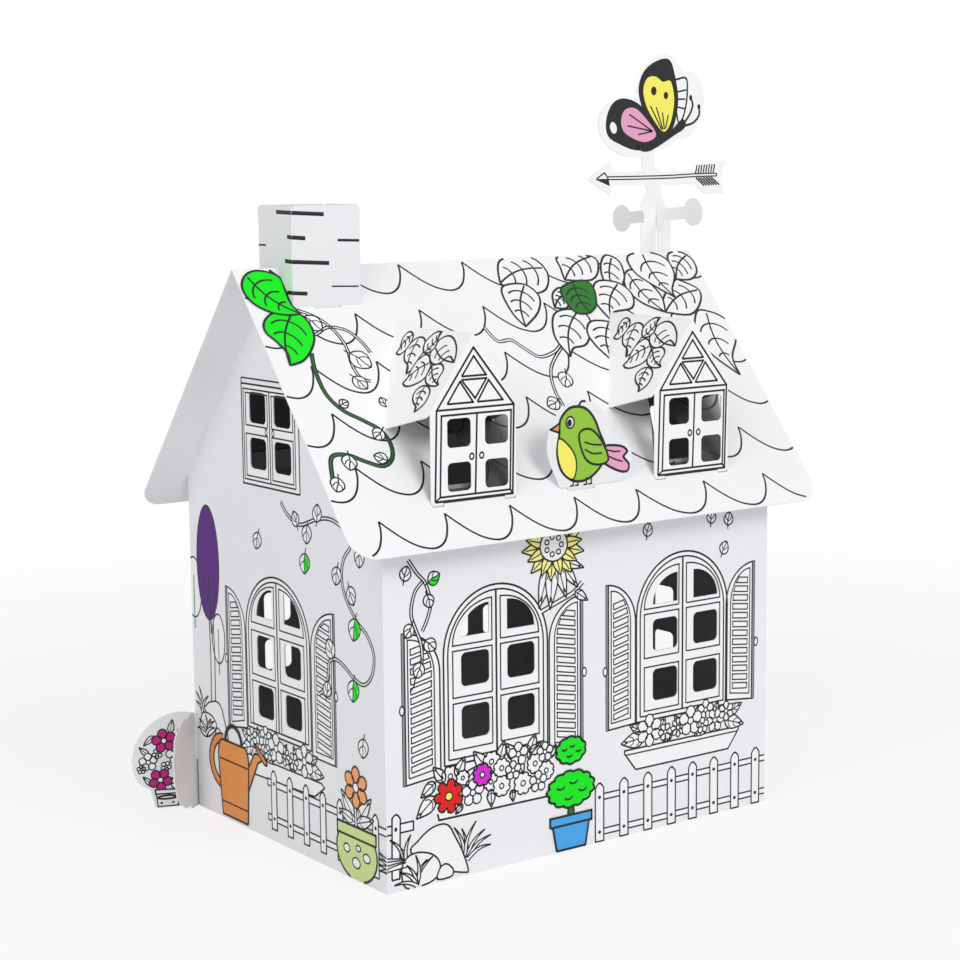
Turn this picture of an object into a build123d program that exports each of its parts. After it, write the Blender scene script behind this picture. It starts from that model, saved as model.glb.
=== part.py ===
from build123d import *
from math import cos, radians, sin
import os

# House that folds up from die-cut sheets of printed card
# Millimetres, Z up, front wall towards -Y, one gable at the left and one at the right

# Card and the way the sheets join
card = 0.6            # thickness of every sheet
crease = 0.6          # outside radius of a fold
play = 0.3            # room on each side of a card that stands in a slot
seat_gap = 0.1        # room under a card that stands on the roof
tab_depth = 8.0       # how far a tab reaches through its slot
pane_round = 2.8      # corner radius of a window pane

# Walls
house_width = 240.0
house_depth = 181.0
eave_height = 176.0
ridge_height = 286.0
eave_flap_width = 14.0
eave_flap_inset = 6.0
eave_flap_taper = 8.0

# Roof sheet
eave_overhang = 12.5
left_overhang = 22.5
right_overhang = 25.5
roof_corner_radius = 13.0

# Arched windows of the front and back walls
front_window_places = (65.0, 183.4)
front_pane_width = 16.5
front_pane_height = 16.3
front_mullion = 10.6
front_sill_heights = (66.7, 92.2)
front_arch_sill = 116.2
front_arch_height = 14.8

# Arched window and attic window of the gables
gable_window_place = 93.6
gable_pane_width = 15.3
gable_pane_height = 16.3
gable_mullion = 11.2
gable_sill_heights = (62.0, 87.4)
gable_arch_sill = 113.2
gable_arch_height = 15.0
attic_window_place = 96.9
attic_pane_width = 15.6
attic_pane_height = 15.4
attic_mullion = 7.6
attic_sill_heights = (187.4, 210.0)

# Ears that close the back left corner, one crossing the other
ear_height = 51.0
ear_slot_height = 25.0
ear_slot_reach = 1.5
ear_fold_drop = 1.8        # how much lower an ear is at its fold than at its top
bouquet_ear_turn = 20.0    # degrees behind the line of the back wall
bouquet_reach = 34.2
pot_rim_reach = 25.4
pot_rim_height = 10.4
pot_foot_reach = 22.6
bush_ear_turn = 36.0       # degrees in front of that line
bush_reach = 28.8
bush_foot_reach = 8.0
bush_bumps = 7
bush_bump_depth = 1.3

# Chimney
chimney_width = 38.4
chimney_depth = 31.0
chimney_left = 1.6
chimney_rise = 30.2          # above the ridge
chimney_corner_radius = 3.0
chimney_tab_width = 14.0
chimney_lap_width = 10.0

# Dormers and the bird stand in slots along one line of the roof
stand_line = 2.3
dormer_places = (53.4, 188.8)
dormer_width = 49.0
dormer_side_height = 42.5
dormer_peak_height = 77.5
dormer_pane_width = 13.5
dormer_pane_height = 13.5
dormer_pane_shift = 2.4      # the panes sit to the right of the card's middle
dormer_mullion = 8.1
dormer_sill_heights = (4.5, 25.0)
dormer_pane_round = 2.4
dormer_wing_front_drop = 3.0
dormer_wing_drop = 12.0
dormer_wing_drop_back = 28.0
dormer_tab_width = 6.0
dormer_cheek_width = 12.0
dormer_cheek_height = 38.0
dormer_cheek_splay = 50.0
dormer_light_width = 23.0
dormer_light_front = 5.0
dormer_light_side = 10.0     # length of its straight sides, below its peak
dormer_light_length = 31.0

bird_place = 117.0
bird_body_radius = 20.5
bird_body_height = 21.0
bird_tail_radius = 11.0
bird_tail_offset = 21.5
bird_tail_height = 11.0
bird_foot_left = -12.5
bird_foot_right = 21.0
bird_flank_height = 12.0     # where the slanting left side meets the round body
bird_tab_width = 16.0

# Weathervane
vane_past_gable = 2.2      # from the right gable's outer face to the post's slot
vane_leg_left = 11.2       # from the slot's middle to the post's left side
vane_leg_right = 9.8
vane_neck_width = 9.0
vane_shoulder = 1.8
vane_tab_depth = 12.0
vane_straight = 15.0       # height at which the post's sides start to wave
arrow_height = 40.5        # above the ridge
arrow_tip = 48.7           # from the slot's middle to the left
arrow_tail = 49.6
arrow_shaft_width = 7.0
arrow_head_length = 15.7
arrow_feather_length = 21.6
arrow_half_height = 8.8
butterfly_rise = 34.0      # from the arrow to the middle of the wings
butterfly_neck_place = -6.2
fore_wing_radii = (18.5, 25.0)
hind_wing_radii = (21.8, 15.3)
far_wing_radii = (13.0, 18.5)
wing_dip_round = 4.0
arms_height = 20.6         # above the ridge
arms_reach = 29.5
arms_bar_height = 6.5
arms_disc_radius = 7.3
arms_lobe_radius = 6.9
arms_tilt = 4.0
cross_play = 0.5

vane_place = house_width + vane_past_gable
roof_pitch = (ridge_height - eave_height) / (house_depth / 2)
pitch_cos = 1 / (1 + roof_pitch ** 2) ** 0.5
pitch_sin = roof_pitch * pitch_cos
ridge_line = house_depth / 2
chimney_top = ridge_height + chimney_rise
roof_rise = card / pitch_cos     # upright thickness of the sloping sheet
far = 2 * ridge_height           # clears the house any way


def front_card(y):
    """Sketch plane for an upright card that faces the front; its axes are X and Z."""
    return Plane(origin=(0, y + card / 2, 0), x_dir=(1, 0, 0), z_dir=(0, -1, 0))


def side_card(x):
    """Sketch plane for an upright card that faces the side; its axes are Y and Z."""
    return Plane(origin=(x - card / 2, 0, 0), x_dir=(0, 1, 0), z_dir=(1, 0, 0))


def roof_block(lift):
    """Everything below the roof's outer face, raised by lift."""
    peak = ridge_height + roof_rise + lift
    foot = peak - roof_pitch * (ridge_line + far)
    outline = Polyline((-far, foot), (ridge_line, peak), (house_depth + far, foot), close=True)
    profile = side_card(-far) * make_face(outline)
    return extrude(profile, 2 * far)


def two_by(width, height, mullion, sills, corner):
    """Pairs of panes, one above another, about x = 0."""
    panes = Sketch()
    for sill in sills:
        for side in (-1, 1):
            place = Pos(side * (mullion + width) / 2, sill + height / 2)
            panes += place * RectangleRounded(width, height, corner)
    return panes


def arch_pair(width, height, mullion, sill):
    """Top pair of panes of an arched window, each a quarter of an ellipse."""
    panes = Sketch()
    for side in (-1, 1):
        quarter = Ellipse(width, height) & Pos(side * width / 2, height / 2) * Rectangle(width, height)
        panes += Pos(side * mullion / 2, sill) * quarter
    return panes


def front_window():
    return two_by(front_pane_width, front_pane_height, front_mullion, front_sill_heights,
                  pane_round) + arch_pair(front_pane_width, front_arch_height, front_mullion,
                                          front_arch_sill)


def gable_windows():
    arched = two_by(gable_pane_width, gable_pane_height, gable_mullion, gable_sill_heights,
                    pane_round)
    arched += arch_pair(gable_pane_width, gable_arch_height, gable_mullion, gable_arch_sill)
    attic = two_by(attic_pane_width, attic_pane_height, attic_mullion, attic_sill_heights,
                   pane_round)
    return Pos(gable_window_place, 0) * arched + Pos(attic_window_place, 0) * attic


def slope_slot(x, y, length, layer=0):
    """Slot in the front slope, from the ridge, for an upright card that faces the front."""
    width = card / pitch_cos + card * roof_pitch + 2 * play
    middle = (y - ridge_line) / pitch_cos + card * roof_pitch * (layer + 0.5)
    return Pos(x, middle) * Rectangle(length + 2 * play, width)


def stand_slots(layer=0):
    """Slots for the tabs of the dormers and the bird."""
    slots = slope_slot(bird_place, stand_line, bird_tab_width, layer)
    for place in dormer_places:
        for middle in dormer_tab_middles():
            slots += slope_slot(place + middle, stand_line, dormer_tab_width, layer)
    return slots


def eave_flap(slots):
    """Flap folded in from the front wall's top edge, flat under the roof."""
    plane = Plane(origin=(0, ridge_line, ridge_height), x_dir=(1, 0, 0),
                  z_dir=(0, -pitch_sin, pitch_cos))
    eave = -ridge_line / pitch_cos
    start, end = eave_flap_inset, house_width - eave_flap_inset
    outline = Polyline((start, eave), (end, eave), (end - eave_flap_taper, eave + eave_flap_width),
                       (start + eave_flap_taper, eave + eave_flap_width), close=True)
    return extrude(plane * (make_face(outline) - slots), -card)


def ear_plane(turn):
    """Plane of an ear: its x runs outwards from the back left corner, its y is up."""
    corner = (card / 2, house_depth - card / 2, 0)
    outwards = (-cos(radians(turn)), sin(radians(turn)), 0)
    return Plane(origin=corner, x_dir=outwards, z_dir=(outwards[1], -outwards[0], 0))


def bouquet_outline():
    """Flower pot with its bouquet, from the fold outwards."""
    top = (0, ear_height - ear_fold_drop)
    rim = (pot_rim_reach, pot_rim_height)
    crown = Spline(top, (bouquet_reach / 3, ear_height), (bouquet_reach * 3 / 4, ear_height * 0.87),
                   (bouquet_reach, ear_height * 0.55), (bouquet_reach - 3, pot_rim_height + 4), rim)
    return crown + Polyline(rim, (pot_foot_reach, 0), (0, 0), top)


def bush_outline():
    """Clipped bush with a bumpy edge, from the fold outwards."""
    top = (0, ear_height - ear_fold_drop)
    foot = (bush_foot_reach, 0)
    last = (bush_foot_reach + bush_bump_depth, 2 * bush_bump_depth)
    edge = Spline(top, (bush_reach / 3, ear_height - bush_bump_depth),
                  (bush_reach * 0.8, ear_height * 0.86), (bush_reach - bush_bump_depth, ear_height / 2),
                  (bush_reach * 0.76, ear_height * 0.16), last)
    outline = Polyline(last, foot, (0, 0), top)
    for bump in range(bush_bumps):
        start, end = edge @ (bump / bush_bumps), edge @ ((bump + 1) / bush_bumps)
        halfway = (bump + 0.5) / bush_bumps
        along = edge % halfway
        outwards = Vector(-along.Y, along.X) * bush_bump_depth
        outline += ThreePointArc(start, edge @ halfway + outwards, end)
    return outline


def ear(turn, outline):
    plane = ear_plane(turn)
    leaf = Pos(0, 0, -card / 2) * extrude(make_face(outline), card)
    height = ear_height - ear_fold_drop
    hinge = Cylinder(card / 2, height, align=(Align.CENTER, Align.CENTER, Align.MIN))
    return plane.location * leaf + Pos(*plane.origin) * hinge


def wall_wrap():
    """One sheet round all four walls; its ends cross in half slots at the back left corner."""
    centre = Pos(house_width / 2, ridge_line)
    plan = centre * Rectangle(house_width, house_depth)
    folded = [v for v in plan.vertices() if v.X > 1 or v.Y < 1]
    plan = fillet(folded, crease)
    plan -= centre * Rectangle(house_width - 2 * card, house_depth - 2 * card)
    walls = extrude(plan, ridge_height)
    section = Polyline((0, 0), (house_depth, 0), (house_depth, eave_height),
                       (ridge_line, ridge_height), (0, eave_height), close=True)
    walls &= extrude(side_card(card / 2) * make_face(section), house_width)

    openings = Sketch()
    for place in front_window_places:
        openings += Pos(place, 0) * front_window()
    walls -= extrude(front_card(house_depth) * openings, house_depth + card)
    walls -= extrude(side_card(0) * gable_windows(), house_width + card)
    walls += eave_flap(stand_slots(layer=-1))
    walls += eave_flap(Sketch()).mirror(Plane.XZ.offset(-ridge_line))

    # The sheet's two ends stop just short of each other at the back left corner
    corner = Pos(card / 2, house_depth - card / 2)
    seam = Box(play, 4 * card, far, align=(Align.MIN, Align.CENTER, Align.MIN))
    walls -= corner * Pos(card / 2, 0) * seam

    # Lower half: the back wall's end passes through a slot in the gable's end
    upwards = (Align.CENTER, Align.CENTER, Align.MIN)
    slot_width = 2 * ear_slot_reach
    gable_slot = corner * Box(slot_width, slot_width, ear_slot_height + play, align=upwards)
    neck = corner * Box(slot_width, card, ear_slot_height,
                        align=(Align.MIN, Align.CENTER, Align.MIN))
    bouquet = ear(bouquet_ear_turn, bouquet_outline())
    walls = (walls + bouquet) - gable_slot + neck

    # Upper half: the gable's end passes through a slot in the back wall's end
    bush = ear(-bush_ear_turn, bush_outline())
    bush_slot = Box(slot_width, slot_width, ear_height, align=upwards)
    bush -= corner * Pos(0, 0, ear_slot_height) * bush_slot
    return walls + bush


def chimney_faces():
    """World y of the middle of the chimney's front and back cards."""
    reach = chimney_depth / 2 - card / 2
    return ridge_line - reach, ridge_line + reach


def tab_below(x, width, depth):
    """Tab under a card whose lower edge is at y = 0."""
    return Pos(x, card) * Rectangle(width, depth + card, align=(Align.CENTER, Align.MAX))


def dormer_tab_middles():
    """Middles of a dormer's two tabs, from the dormer's middle."""
    reach = dormer_width / 2 - dormer_tab_width / 2 - card
    return -reach, reach


def slope(cuts, turned):
    """One half of the roof sheet, lying on the gables."""
    side = -1 if turned else 1
    plane = Plane(origin=(0, ridge_line, ridge_height), x_dir=(side, 0, 0),
                  z_dir=(0, -side * pitch_sin, pitch_cos))
    length = (ridge_line + eave_overhang) / pitch_cos
    width = left_overhang + house_width + right_overhang
    middle = side * (house_width + right_overhang - left_overhang) / 2
    sheet = Pos(middle, -length / 2) * Rectangle(width, length)
    sheet = fillet(sheet.vertices().sort_by(Axis.Y)[:2], roof_corner_radius)
    return extrude(plane * (sheet - cuts), card)


def dormer_light():
    """Hole behind a dormer, with a peak like the dormer's own."""
    half = dormer_light_width / 2
    side = dormer_light_side / pitch_cos
    outline = Polyline((-half, 0), (half, 0), (half, side), (0, dormer_light_length / pitch_cos),
                       (-half, side), close=True)
    return make_face(outline)


def roof_sheet():
    """One sheet creased along the ridge, with slots for what stands on it."""
    front_face, back_face = chimney_faces()
    chimney_middle = chimney_left + chimney_width / 2
    cuts = slope_slot(chimney_middle, front_face, chimney_tab_width)
    for place in dormer_places:
        light_foot = (stand_line + dormer_light_front - ridge_line) / pitch_cos
        cuts += Pos(place, light_foot) * dormer_light()
    roof = slope(cuts + stand_slots(), turned=False)
    roof += slope(slope_slot(-chimney_middle, front_face, chimney_tab_width), turned=True)

    up = (0, ridge_height)
    front_edge = (-card * pitch_sin, ridge_height + card * pitch_cos)
    back_edge = (card * pitch_sin, ridge_height + card * pitch_cos)
    fold = Line(up, front_edge) + ThreePointArc(front_edge, (0, ridge_height + card), back_edge)
    fold += Line(back_edge, up)
    profile = Plane(origin=(-left_overhang, ridge_line, 0), x_dir=(0, 1, 0), z_dir=(1, 0, 0))
    roof += extrude(profile * make_face(fold), left_overhang + house_width + right_overhang)
    for left, right in vane_tabs():
        slot = Box(right - left + 2 * play, card + 2 * play, 8 * card)
        roof -= Pos(vane_place + (left + right) / 2, ridge_line, ridge_height) * slot
    return roof


def chimney():
    """Square tube folded from one strip, its foot cut to straddle the ridge."""
    straight_top = chimney_top - chimney_corner_radius
    foot = ridge_height - roof_pitch * chimney_depth / 2 - tab_depth
    plan = RectangleRounded(chimney_width, chimney_depth, crease)
    plan -= Rectangle(chimney_width - 2 * card, chimney_depth - 2 * card)
    middle = Pos(chimney_left + chimney_width / 2, ridge_line)
    tube = extrude(middle * Pos(0, 0, foot) * plan, straight_top - foot)
    for y in chimney_faces():
        top = Pos(chimney_left + chimney_width / 2, chimney_top) * Rectangle(
            chimney_width, 2 * chimney_corner_radius, align=(Align.CENTER, Align.MAX))
        top = fillet(top.vertices().sort_by(Axis.Y)[2:], chimney_corner_radius)
        tube += extrude(front_card(y) * top, card)
    for x in (chimney_left + card / 2, chimney_left + chimney_width - card / 2):
        top = Pos(ridge_line, chimney_top) * Rectangle(
            chimney_depth, 2 * chimney_corner_radius, align=(Align.CENTER, Align.MAX))
        top = fillet(top.vertices().sort_by(Axis.Y)[2:], chimney_corner_radius)
        tube += extrude(side_card(x) * top, card)

    # The strip's end laps inside the back face
    front_face, back_face = chimney_faces()
    lap = Box(chimney_lap_width, card, chimney_top - chimney_corner_radius - foot - 2 * card,
              align=(Align.MIN, Align.CENTER, Align.MIN))
    tube += Pos(chimney_left + card, back_face - card, foot) * lap

    tube -= roof_block(seat_gap)
    for y in (front_face, back_face):
        outer = y - card / 2 if y < ridge_line else y + card / 2
        level = ridge_height - roof_pitch * abs(outer - ridge_line) + roof_rise + seat_gap
        tab = tab_below(chimney_left + chimney_width / 2, chimney_tab_width, tab_depth)
        tube += extrude(front_card(y) * Pos(0, level) * tab, card)
    return tube


def stand_height():
    """Height of the lower edge of a card that stands in the dormers' line."""
    return eave_height + roof_pitch * (stand_line + card / 2) + roof_rise + seat_gap


def dormer(place):
    """Window front with its two roof wings and a narrow cheek, folded from one sheet."""
    base = stand_height()
    half = dormer_width / 2
    rise = dormer_peak_height - dormer_side_height
    wing_length = (half ** 2 + rise ** 2) ** 0.5
    wing_cos = half / wing_length
    wing_sin = rise / wing_length
    front_face = stand_line - card / 2

    outline = Polyline((-half, 0), (half, 0), (half, dormer_side_height), (0, dormer_peak_height),
                       (-half, dormer_side_height), close=True)
    face = make_face(outline)
    for middle in dormer_tab_middles():
        face += tab_below(middle, dormer_tab_width, tab_depth)
    panes = two_by(dormer_pane_width, dormer_pane_height, dormer_mullion, dormer_sill_heights,
                   dormer_pane_round)
    face -= Pos(dormer_pane_shift, 0) * panes
    body = extrude(front_card(stand_line) * Pos(place, base) * face, card)

    clear = roof_block(seat_gap)
    back = house_depth / 2
    for side in (-1, 1):
        start = 0 if side < 0 else card + play
        plane = Plane(origin=(place + side * half, front_face, base + dormer_side_height),
                      x_dir=(0, 1, 0), z_dir=(-side * wing_sin, 0, -wing_cos))
        up = 1 if side < 0 else -1
        wing = Polyline((start, 0), (start + 2 * card, -up * dormer_wing_front_drop),
                        (dormer_wing_drop_back, -up * dormer_wing_drop),
                        (back, -up * dormer_wing_drop), (back, up * wing_length),
                        (start, up * wing_length), close=True)
        body += extrude(plane * make_face(wing), card) - clear

    splay = radians(dormer_cheek_splay)
    cheek_plane = Plane(origin=(place + half - card / 2, stand_line, base),
                        x_dir=(sin(splay), cos(splay), 0), z_dir=(-cos(splay), sin(splay), 0))
    cheek = Rectangle(dormer_cheek_width, dormer_cheek_height, align=(Align.MIN, Align.MIN))
    cheek = fillet(cheek.vertices().sort_by(Axis.X)[2:].sort_by(Axis.Y)[-1], dormer_cheek_width / 3)
    leaf = extrude(cheek_plane * Pos(0, 0, -card / 2) * cheek, card)
    hinge = Cylinder(card / 2, dormer_cheek_height, align=(Align.CENTER, Align.CENTER, Align.MIN))
    body += leaf - clear
    body += Pos(*cheek_plane.origin) * hinge
    return body


def roof_bird():
    """Bird on a rounded piece of card with a tab in the roof."""
    body = Pos(0, bird_body_height) * Circle(bird_body_radius)
    tail = Pos(bird_tail_offset, bird_tail_height) * Circle(bird_tail_radius)
    drop = bird_body_height - bird_flank_height
    flank = -(bird_body_radius ** 2 - drop ** 2) ** 0.5
    foot = Polyline((bird_foot_left, 0), (bird_foot_right, 0), (bird_foot_right, bird_body_height),
                    (flank, bird_flank_height), close=True)
    shape = body + tail + make_face(foot)
    nape = [v for v in shape.vertices() if v.X > 0 and v.Y > bird_body_height]
    shape = fillet(nape, bird_body_radius / 4)
    ground = Rectangle(far, far, align=(Align.CENTER, Align.MIN))
    shape = (shape & ground) + tab_below(0, bird_tab_width, tab_depth)
    return extrude(front_card(stand_line) * Pos(bird_place, stand_height()) * shape, card)


def vane_tabs():
    """Left and right side of the two tabs that stand in the ridge, from the slot's middle."""
    inside = (-vane_leg_left + vane_shoulder, -vane_past_gable - card - 2 * play)
    outside = (card / 2 + cross_play + vane_shoulder, vane_leg_right - vane_shoulder)
    return inside, outside


def butterfly_card():
    """Card round the butterfly: a fore wing, a hind wing and the far wings with the head."""
    middle = arrow_height + butterfly_rise
    fore = Pos(3.5, middle + 7.0) * Rot(0, 0, -6) * Ellipse(*fore_wing_radii)
    hind = Pos(-19.5, middle - 7.2) * Rot(0, 0, -12) * Ellipse(*hind_wing_radii)
    far_wing = Pos(20.0, middle + 5.0) * Rot(0, 0, -18) * Ellipse(*far_wing_radii)
    shape = fore + hind + far_wing
    dips = [v for v in shape.vertices() if v.Y > middle]
    return fillet(dips, wing_dip_round)


def arrow_card():
    """Arrow that points left, on a strip of card with a low peak under the butterfly."""
    top, half_shaft = arrow_half_height, arrow_shaft_width / 2
    barbs = -arrow_tip + arrow_head_length
    head = Polyline((-arrow_tip, 0), (barbs, top), (barbs + 3, 0), (barbs, -top), close=True)
    start = arrow_tail - arrow_feather_length
    feathers = Polyline((start, -half_shaft), (start + 7, -top), (arrow_tail, -top),
                        (arrow_tail - 3, 0), (arrow_tail, top), (start + 7, top),
                        (start, half_shaft), close=True)
    peak = Polyline((-14, 0), (butterfly_neck_place, 2 * half_shaft + 3), (8.5, 0), close=True)
    shaft = Rectangle(start - barbs + 2, arrow_shaft_width, align=(Align.MIN, Align.CENTER))
    arrow = make_face(head) + make_face(feathers) + make_face(peak) + Pos(barbs, 0) * shaft
    return Pos(0, arrow_height) * arrow


def vane_post():
    """Post with waved sides, down to its shoulders on the ridge."""
    foot = card + seat_gap
    top = arrow_height - 2
    top_left, top_right = (-vane_leg_left, top), (vane_leg_right - 6.6, top)
    foot_left, foot_right = (-vane_leg_left, vane_straight), (vane_leg_right, vane_straight)
    left = Spline(top_left, (4.2 - vane_leg_left, top - 5), (-vane_leg_left, arms_height + 6),
                  (2 - vane_leg_left, arms_height), foot_left)
    right = Spline(foot_right, (vane_leg_right - 1.6, arms_height + 2),
                   (vane_leg_right - 6, arms_height + 9), top_right)
    foot_line = Polyline(foot_left, (-vane_leg_left, foot), (vane_leg_right, foot), foot_right)
    return make_face(left + foot_line + right + Line(top_right, top_left))


def vane_blade():
    """Front card of the weathervane, upright along the ridge."""
    neck = Rectangle(vane_neck_width, butterfly_rise / 2, align=(Align.CENTER, Align.MIN))
    neck = Pos(butterfly_neck_place, arrow_height) * neck
    blade = butterfly_card() + neck + arrow_card() + vane_post()
    for left, right in vane_tabs():
        tab = Rectangle(right - left, vane_tab_depth + 2 * card, align=(Align.MIN, Align.MAX))
        blade += Pos(left, 2 * card) * tab
    slot = Rectangle(card + 2 * cross_play, far, align=(Align.CENTER, Align.MAX))
    blade -= Pos(0, arms_height + play / 2) * slot
    return extrude(front_card(ridge_line) * Pos(vane_place, ridge_height) * blade, card)


def vane_arms():
    """Cross piece with round ends, pushed over the blade from the side and a little askew."""
    arms = Rectangle(2 * arms_reach, arms_bar_height) + Circle(arms_lobe_radius)
    for side in (-1, 1):
        arms += Pos(side * arms_reach, 0) * Circle(arms_disc_radius)
    notch = Rectangle(card + 2 * cross_play, far, align=(Align.CENTER, Align.MIN))
    arms = Rot(0, 0, -arms_tilt) * (arms - Pos(0, -play / 2) * notch)
    place = Pos(ridge_line, ridge_height + arms_height)
    return extrude(side_card(vane_place) * place * arms, card)


pieces = {"wall_wrap": wall_wrap(), "roof_sheet": roof_sheet(), "chimney": chimney()}
for name, place in zip(("dormer_left", "dormer_right"), dormer_places):
    pieces[name] = dormer(place)
pieces["roof_bird"] = roof_bird()
pieces["vane_blade"] = vane_blade()
pieces["vane_arms"] = vane_arms()

# The origin is the middle of the whole house's box, on the floor
boxes = [piece.bounding_box() for piece in pieces.values()]
middle_x = (min(box.min.X for box in boxes) + max(box.max.X for box in boxes)) / 2
middle_y = (min(box.min.Y for box in boxes) + max(box.max.Y for box in boxes)) / 2
home = Pos(-middle_x, -middle_y, 0)
print("front left corner of the walls at", -middle_x, -middle_y)

os.makedirs("parts", exist_ok=True)
for name, piece in pieces.items():
    export_step(home * piece, f"parts/{name}.step")
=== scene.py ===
import bpy
import bmesh
import math
from mathutils import Matrix, Vector
from mathutils.geometry import tessellate_polygon


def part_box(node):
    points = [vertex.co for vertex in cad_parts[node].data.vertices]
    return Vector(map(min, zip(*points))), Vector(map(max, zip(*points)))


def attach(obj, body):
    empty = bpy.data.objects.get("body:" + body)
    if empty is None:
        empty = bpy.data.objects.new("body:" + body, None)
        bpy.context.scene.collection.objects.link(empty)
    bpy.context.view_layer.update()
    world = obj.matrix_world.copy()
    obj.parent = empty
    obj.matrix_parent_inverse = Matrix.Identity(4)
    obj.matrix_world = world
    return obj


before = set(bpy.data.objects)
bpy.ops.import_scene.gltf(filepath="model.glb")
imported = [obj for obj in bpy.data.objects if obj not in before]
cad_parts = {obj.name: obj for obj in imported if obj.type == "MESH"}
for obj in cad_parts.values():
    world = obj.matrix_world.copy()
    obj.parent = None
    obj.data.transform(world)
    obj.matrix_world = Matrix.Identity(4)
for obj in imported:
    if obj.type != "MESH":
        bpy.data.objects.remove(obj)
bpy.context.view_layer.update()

# The house's own sizes in millimetres; drawings use the same unit and are scaled once
mm = 0.001
house = {
    "width": 240.0, "depth": 181.0, "eave": 176.0, "ridge": 286.0, "card": 0.6,
    "leftOverhang": 22.5, "rightOverhang": 25.5, "eaveOverhang": 12.5, "roofCorner": 13.0,
}
wallLow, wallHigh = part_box("wall_wrap")
corner = Vector((wallHigh.x - house["width"] * mm, wallLow.y, 0.0))   # front left foot of the walls
ridgeLine = house["depth"] / 2
roofPitch = (house["ridge"] - house["eave"]) / ridgeLine
pitchCos = 1 / math.sqrt(1 + roofPitch ** 2)
pitchSin = roofPitch * pitchCos
roofRise = house["card"] / pitchCos    # upright thickness of the sloping sheet
standLine = 2.3                        # where the dormers and the bird stand, behind the front wall's face
seatGap = 0.1                          # room under a card that stands on the roof
standHeight = house["eave"] + roofPitch * (standLine + house["card"] / 2) + roofRise + seatGap


# Print

inkPrint = {
    "lineWidth": 0.92,    # a plain line
    "inkHeight": 0.006,
    "layerStep": 0.01,    # each layer of print lies this much higher than the one below
    "fieldFoot": -0.02,   # a field of colour reaches this far into the card
    "cornerTurn": 38.0,   # a sharper turn ends one stroke and starts the next
}

inks = {
    "ink": (0.019, 0.019, 0.020),
    "white": (0.905, 0.91, 0.915),
    "grey": (0.27, 0.27, 0.30),
    "brightGreen": (0.0, 0.80, 0.008),
    "vineGreen": (0.026, 0.145, 0.028),
    "leafGreen": (0.022, 0.185, 0.018),
    "violet": (0.085, 0.006, 0.190),
    "magenta": (0.665, 0.018, 0.665),
    "rose": (0.560, 0.016, 0.215),
    "red": (0.740, 0.010, 0.008),
    "yellow": (0.930, 0.850, 0.135),
    "paleYellow": (0.940, 0.890, 0.290),
    "orange": (0.790, 0.290, 0.075),
    "paleOrange": (0.890, 0.380, 0.140),
    "paleGreen": (0.620, 0.735, 0.300),
    "blue": (0.065, 0.380, 0.800),
    "birdGreen": (0.285, 0.550, 0.045),
    "pink": (0.800, 0.360, 0.540),
}


# Drawing placed by its origin and its across and up ways; out is the side that the print faces.
# The bounds are the card's left, lower, right and upper limits, and avoid lists openings in it
def newSheet(name, origin, across, up, out, bounds, avoid, beyond):
    turn = Matrix((across, up, out)).transposed().to_4x4()
    place = Matrix.Translation(corner + Vector(origin) * mm) @ turn @ Matrix.Scale(mm, 4)
    return {"name": name, "place": place, "lines": [], "rows": [], "fields": [],
            "bounds": bounds, "avoid": list(avoid), "beyond": beyond}


# Whether a point of a drawing lies on the card and clear of its openings
def onCard(sheet, point):
    if sheet["bounds"]:
        left, low, right, high = sheet["bounds"]
        if not (left <= point[0] <= right and low <= point[1] <= high):
            return False
    if sheet["beyond"] and sheet["beyond"](point):
        return False
    return not any(within(hole, point) for hole in sheet["avoid"])


def within(polygon, point):
    x, y = point[0], point[1]
    inside = False
    for (x1, y1), (x2, y2) in zip(polygon, polygon[1:] + polygon[:1]):
        if (y1 > y) != (y2 > y) and x < x1 + (y - y1) * (x2 - x1) / (y2 - y1):
            inside = not inside
    return inside


# Breaks a line where it turns sharply, so that each stroke keeps its full width
def splitRuns(points, closed):
    if closed:
        points = points + [points[0]]
    limit = math.cos(math.radians(inkPrint["cornerTurn"]))
    reach = inkPrint["lineWidth"] * 0.42
    runs = [[points[0]]]
    for before, here, after in zip(points, points[1:], points[2:]):
        one = Vector(here) - Vector(before)
        two = Vector(after) - Vector(here)
        if one.length * two.length > 1e-9 and one.dot(two) < limit * one.length * two.length:
            runs[-1].append(tuple(Vector(here) + one.normalized() * reach))
            runs.append([tuple(Vector(here) - two.normalized() * reach)])
        else:
            runs[-1].append(here)
    runs[-1].append(points[-1])
    return runs


# The stretches of a line that lie on the card, each cut off at its edge
def keepOnCard(sheet, points):
    runs, run = [], []
    for here, after in zip(points, points[1:]):
        pieces = max(1, int((Vector(after) - Vector(here)).length / 2.0))
        steps = [Vector(here).lerp(Vector(after), k / pieces) for k in range(pieces + 1)]
        for a, b in zip(steps, steps[1:]):
            aOn, bOn = onCard(sheet, a), onCard(sheet, b)
            if aOn and bOn:
                run = run or [tuple(a)]
                run.append(tuple(b))
            elif aOn or bOn:
                good, bad = (a, b) if aOn else (b, a)
                for _ in range(8):
                    middle = (good + bad) / 2
                    good, bad = (middle, bad) if onCard(sheet, middle) else (good, middle)
                if aOn:
                    runs.append((run or [tuple(a)]) + [tuple(good)])
                    run = []
                else:
                    run = [tuple(good), tuple(b)]
            elif run:
                runs.append(run)
                run = []
    if len(run) > 1:
        runs.append(run)
    return runs


def strokes(sheet, points, layer, weight, closed, ink):
    points = [tuple(p[:2]) for p in points]
    runs = splitRuns(points, closed)
    if closed and len(runs) == 1 and all(onCard(sheet, p) for p in points):
        return [(points, layer, weight, True, ink)]
    made = []
    for run in runs:
        parts = [run] if all(onCard(sheet, p) for p in run) else keepOnCard(sheet, run)
        made += [(part, layer, weight, False, ink) for part in parts]
    return made


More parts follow.
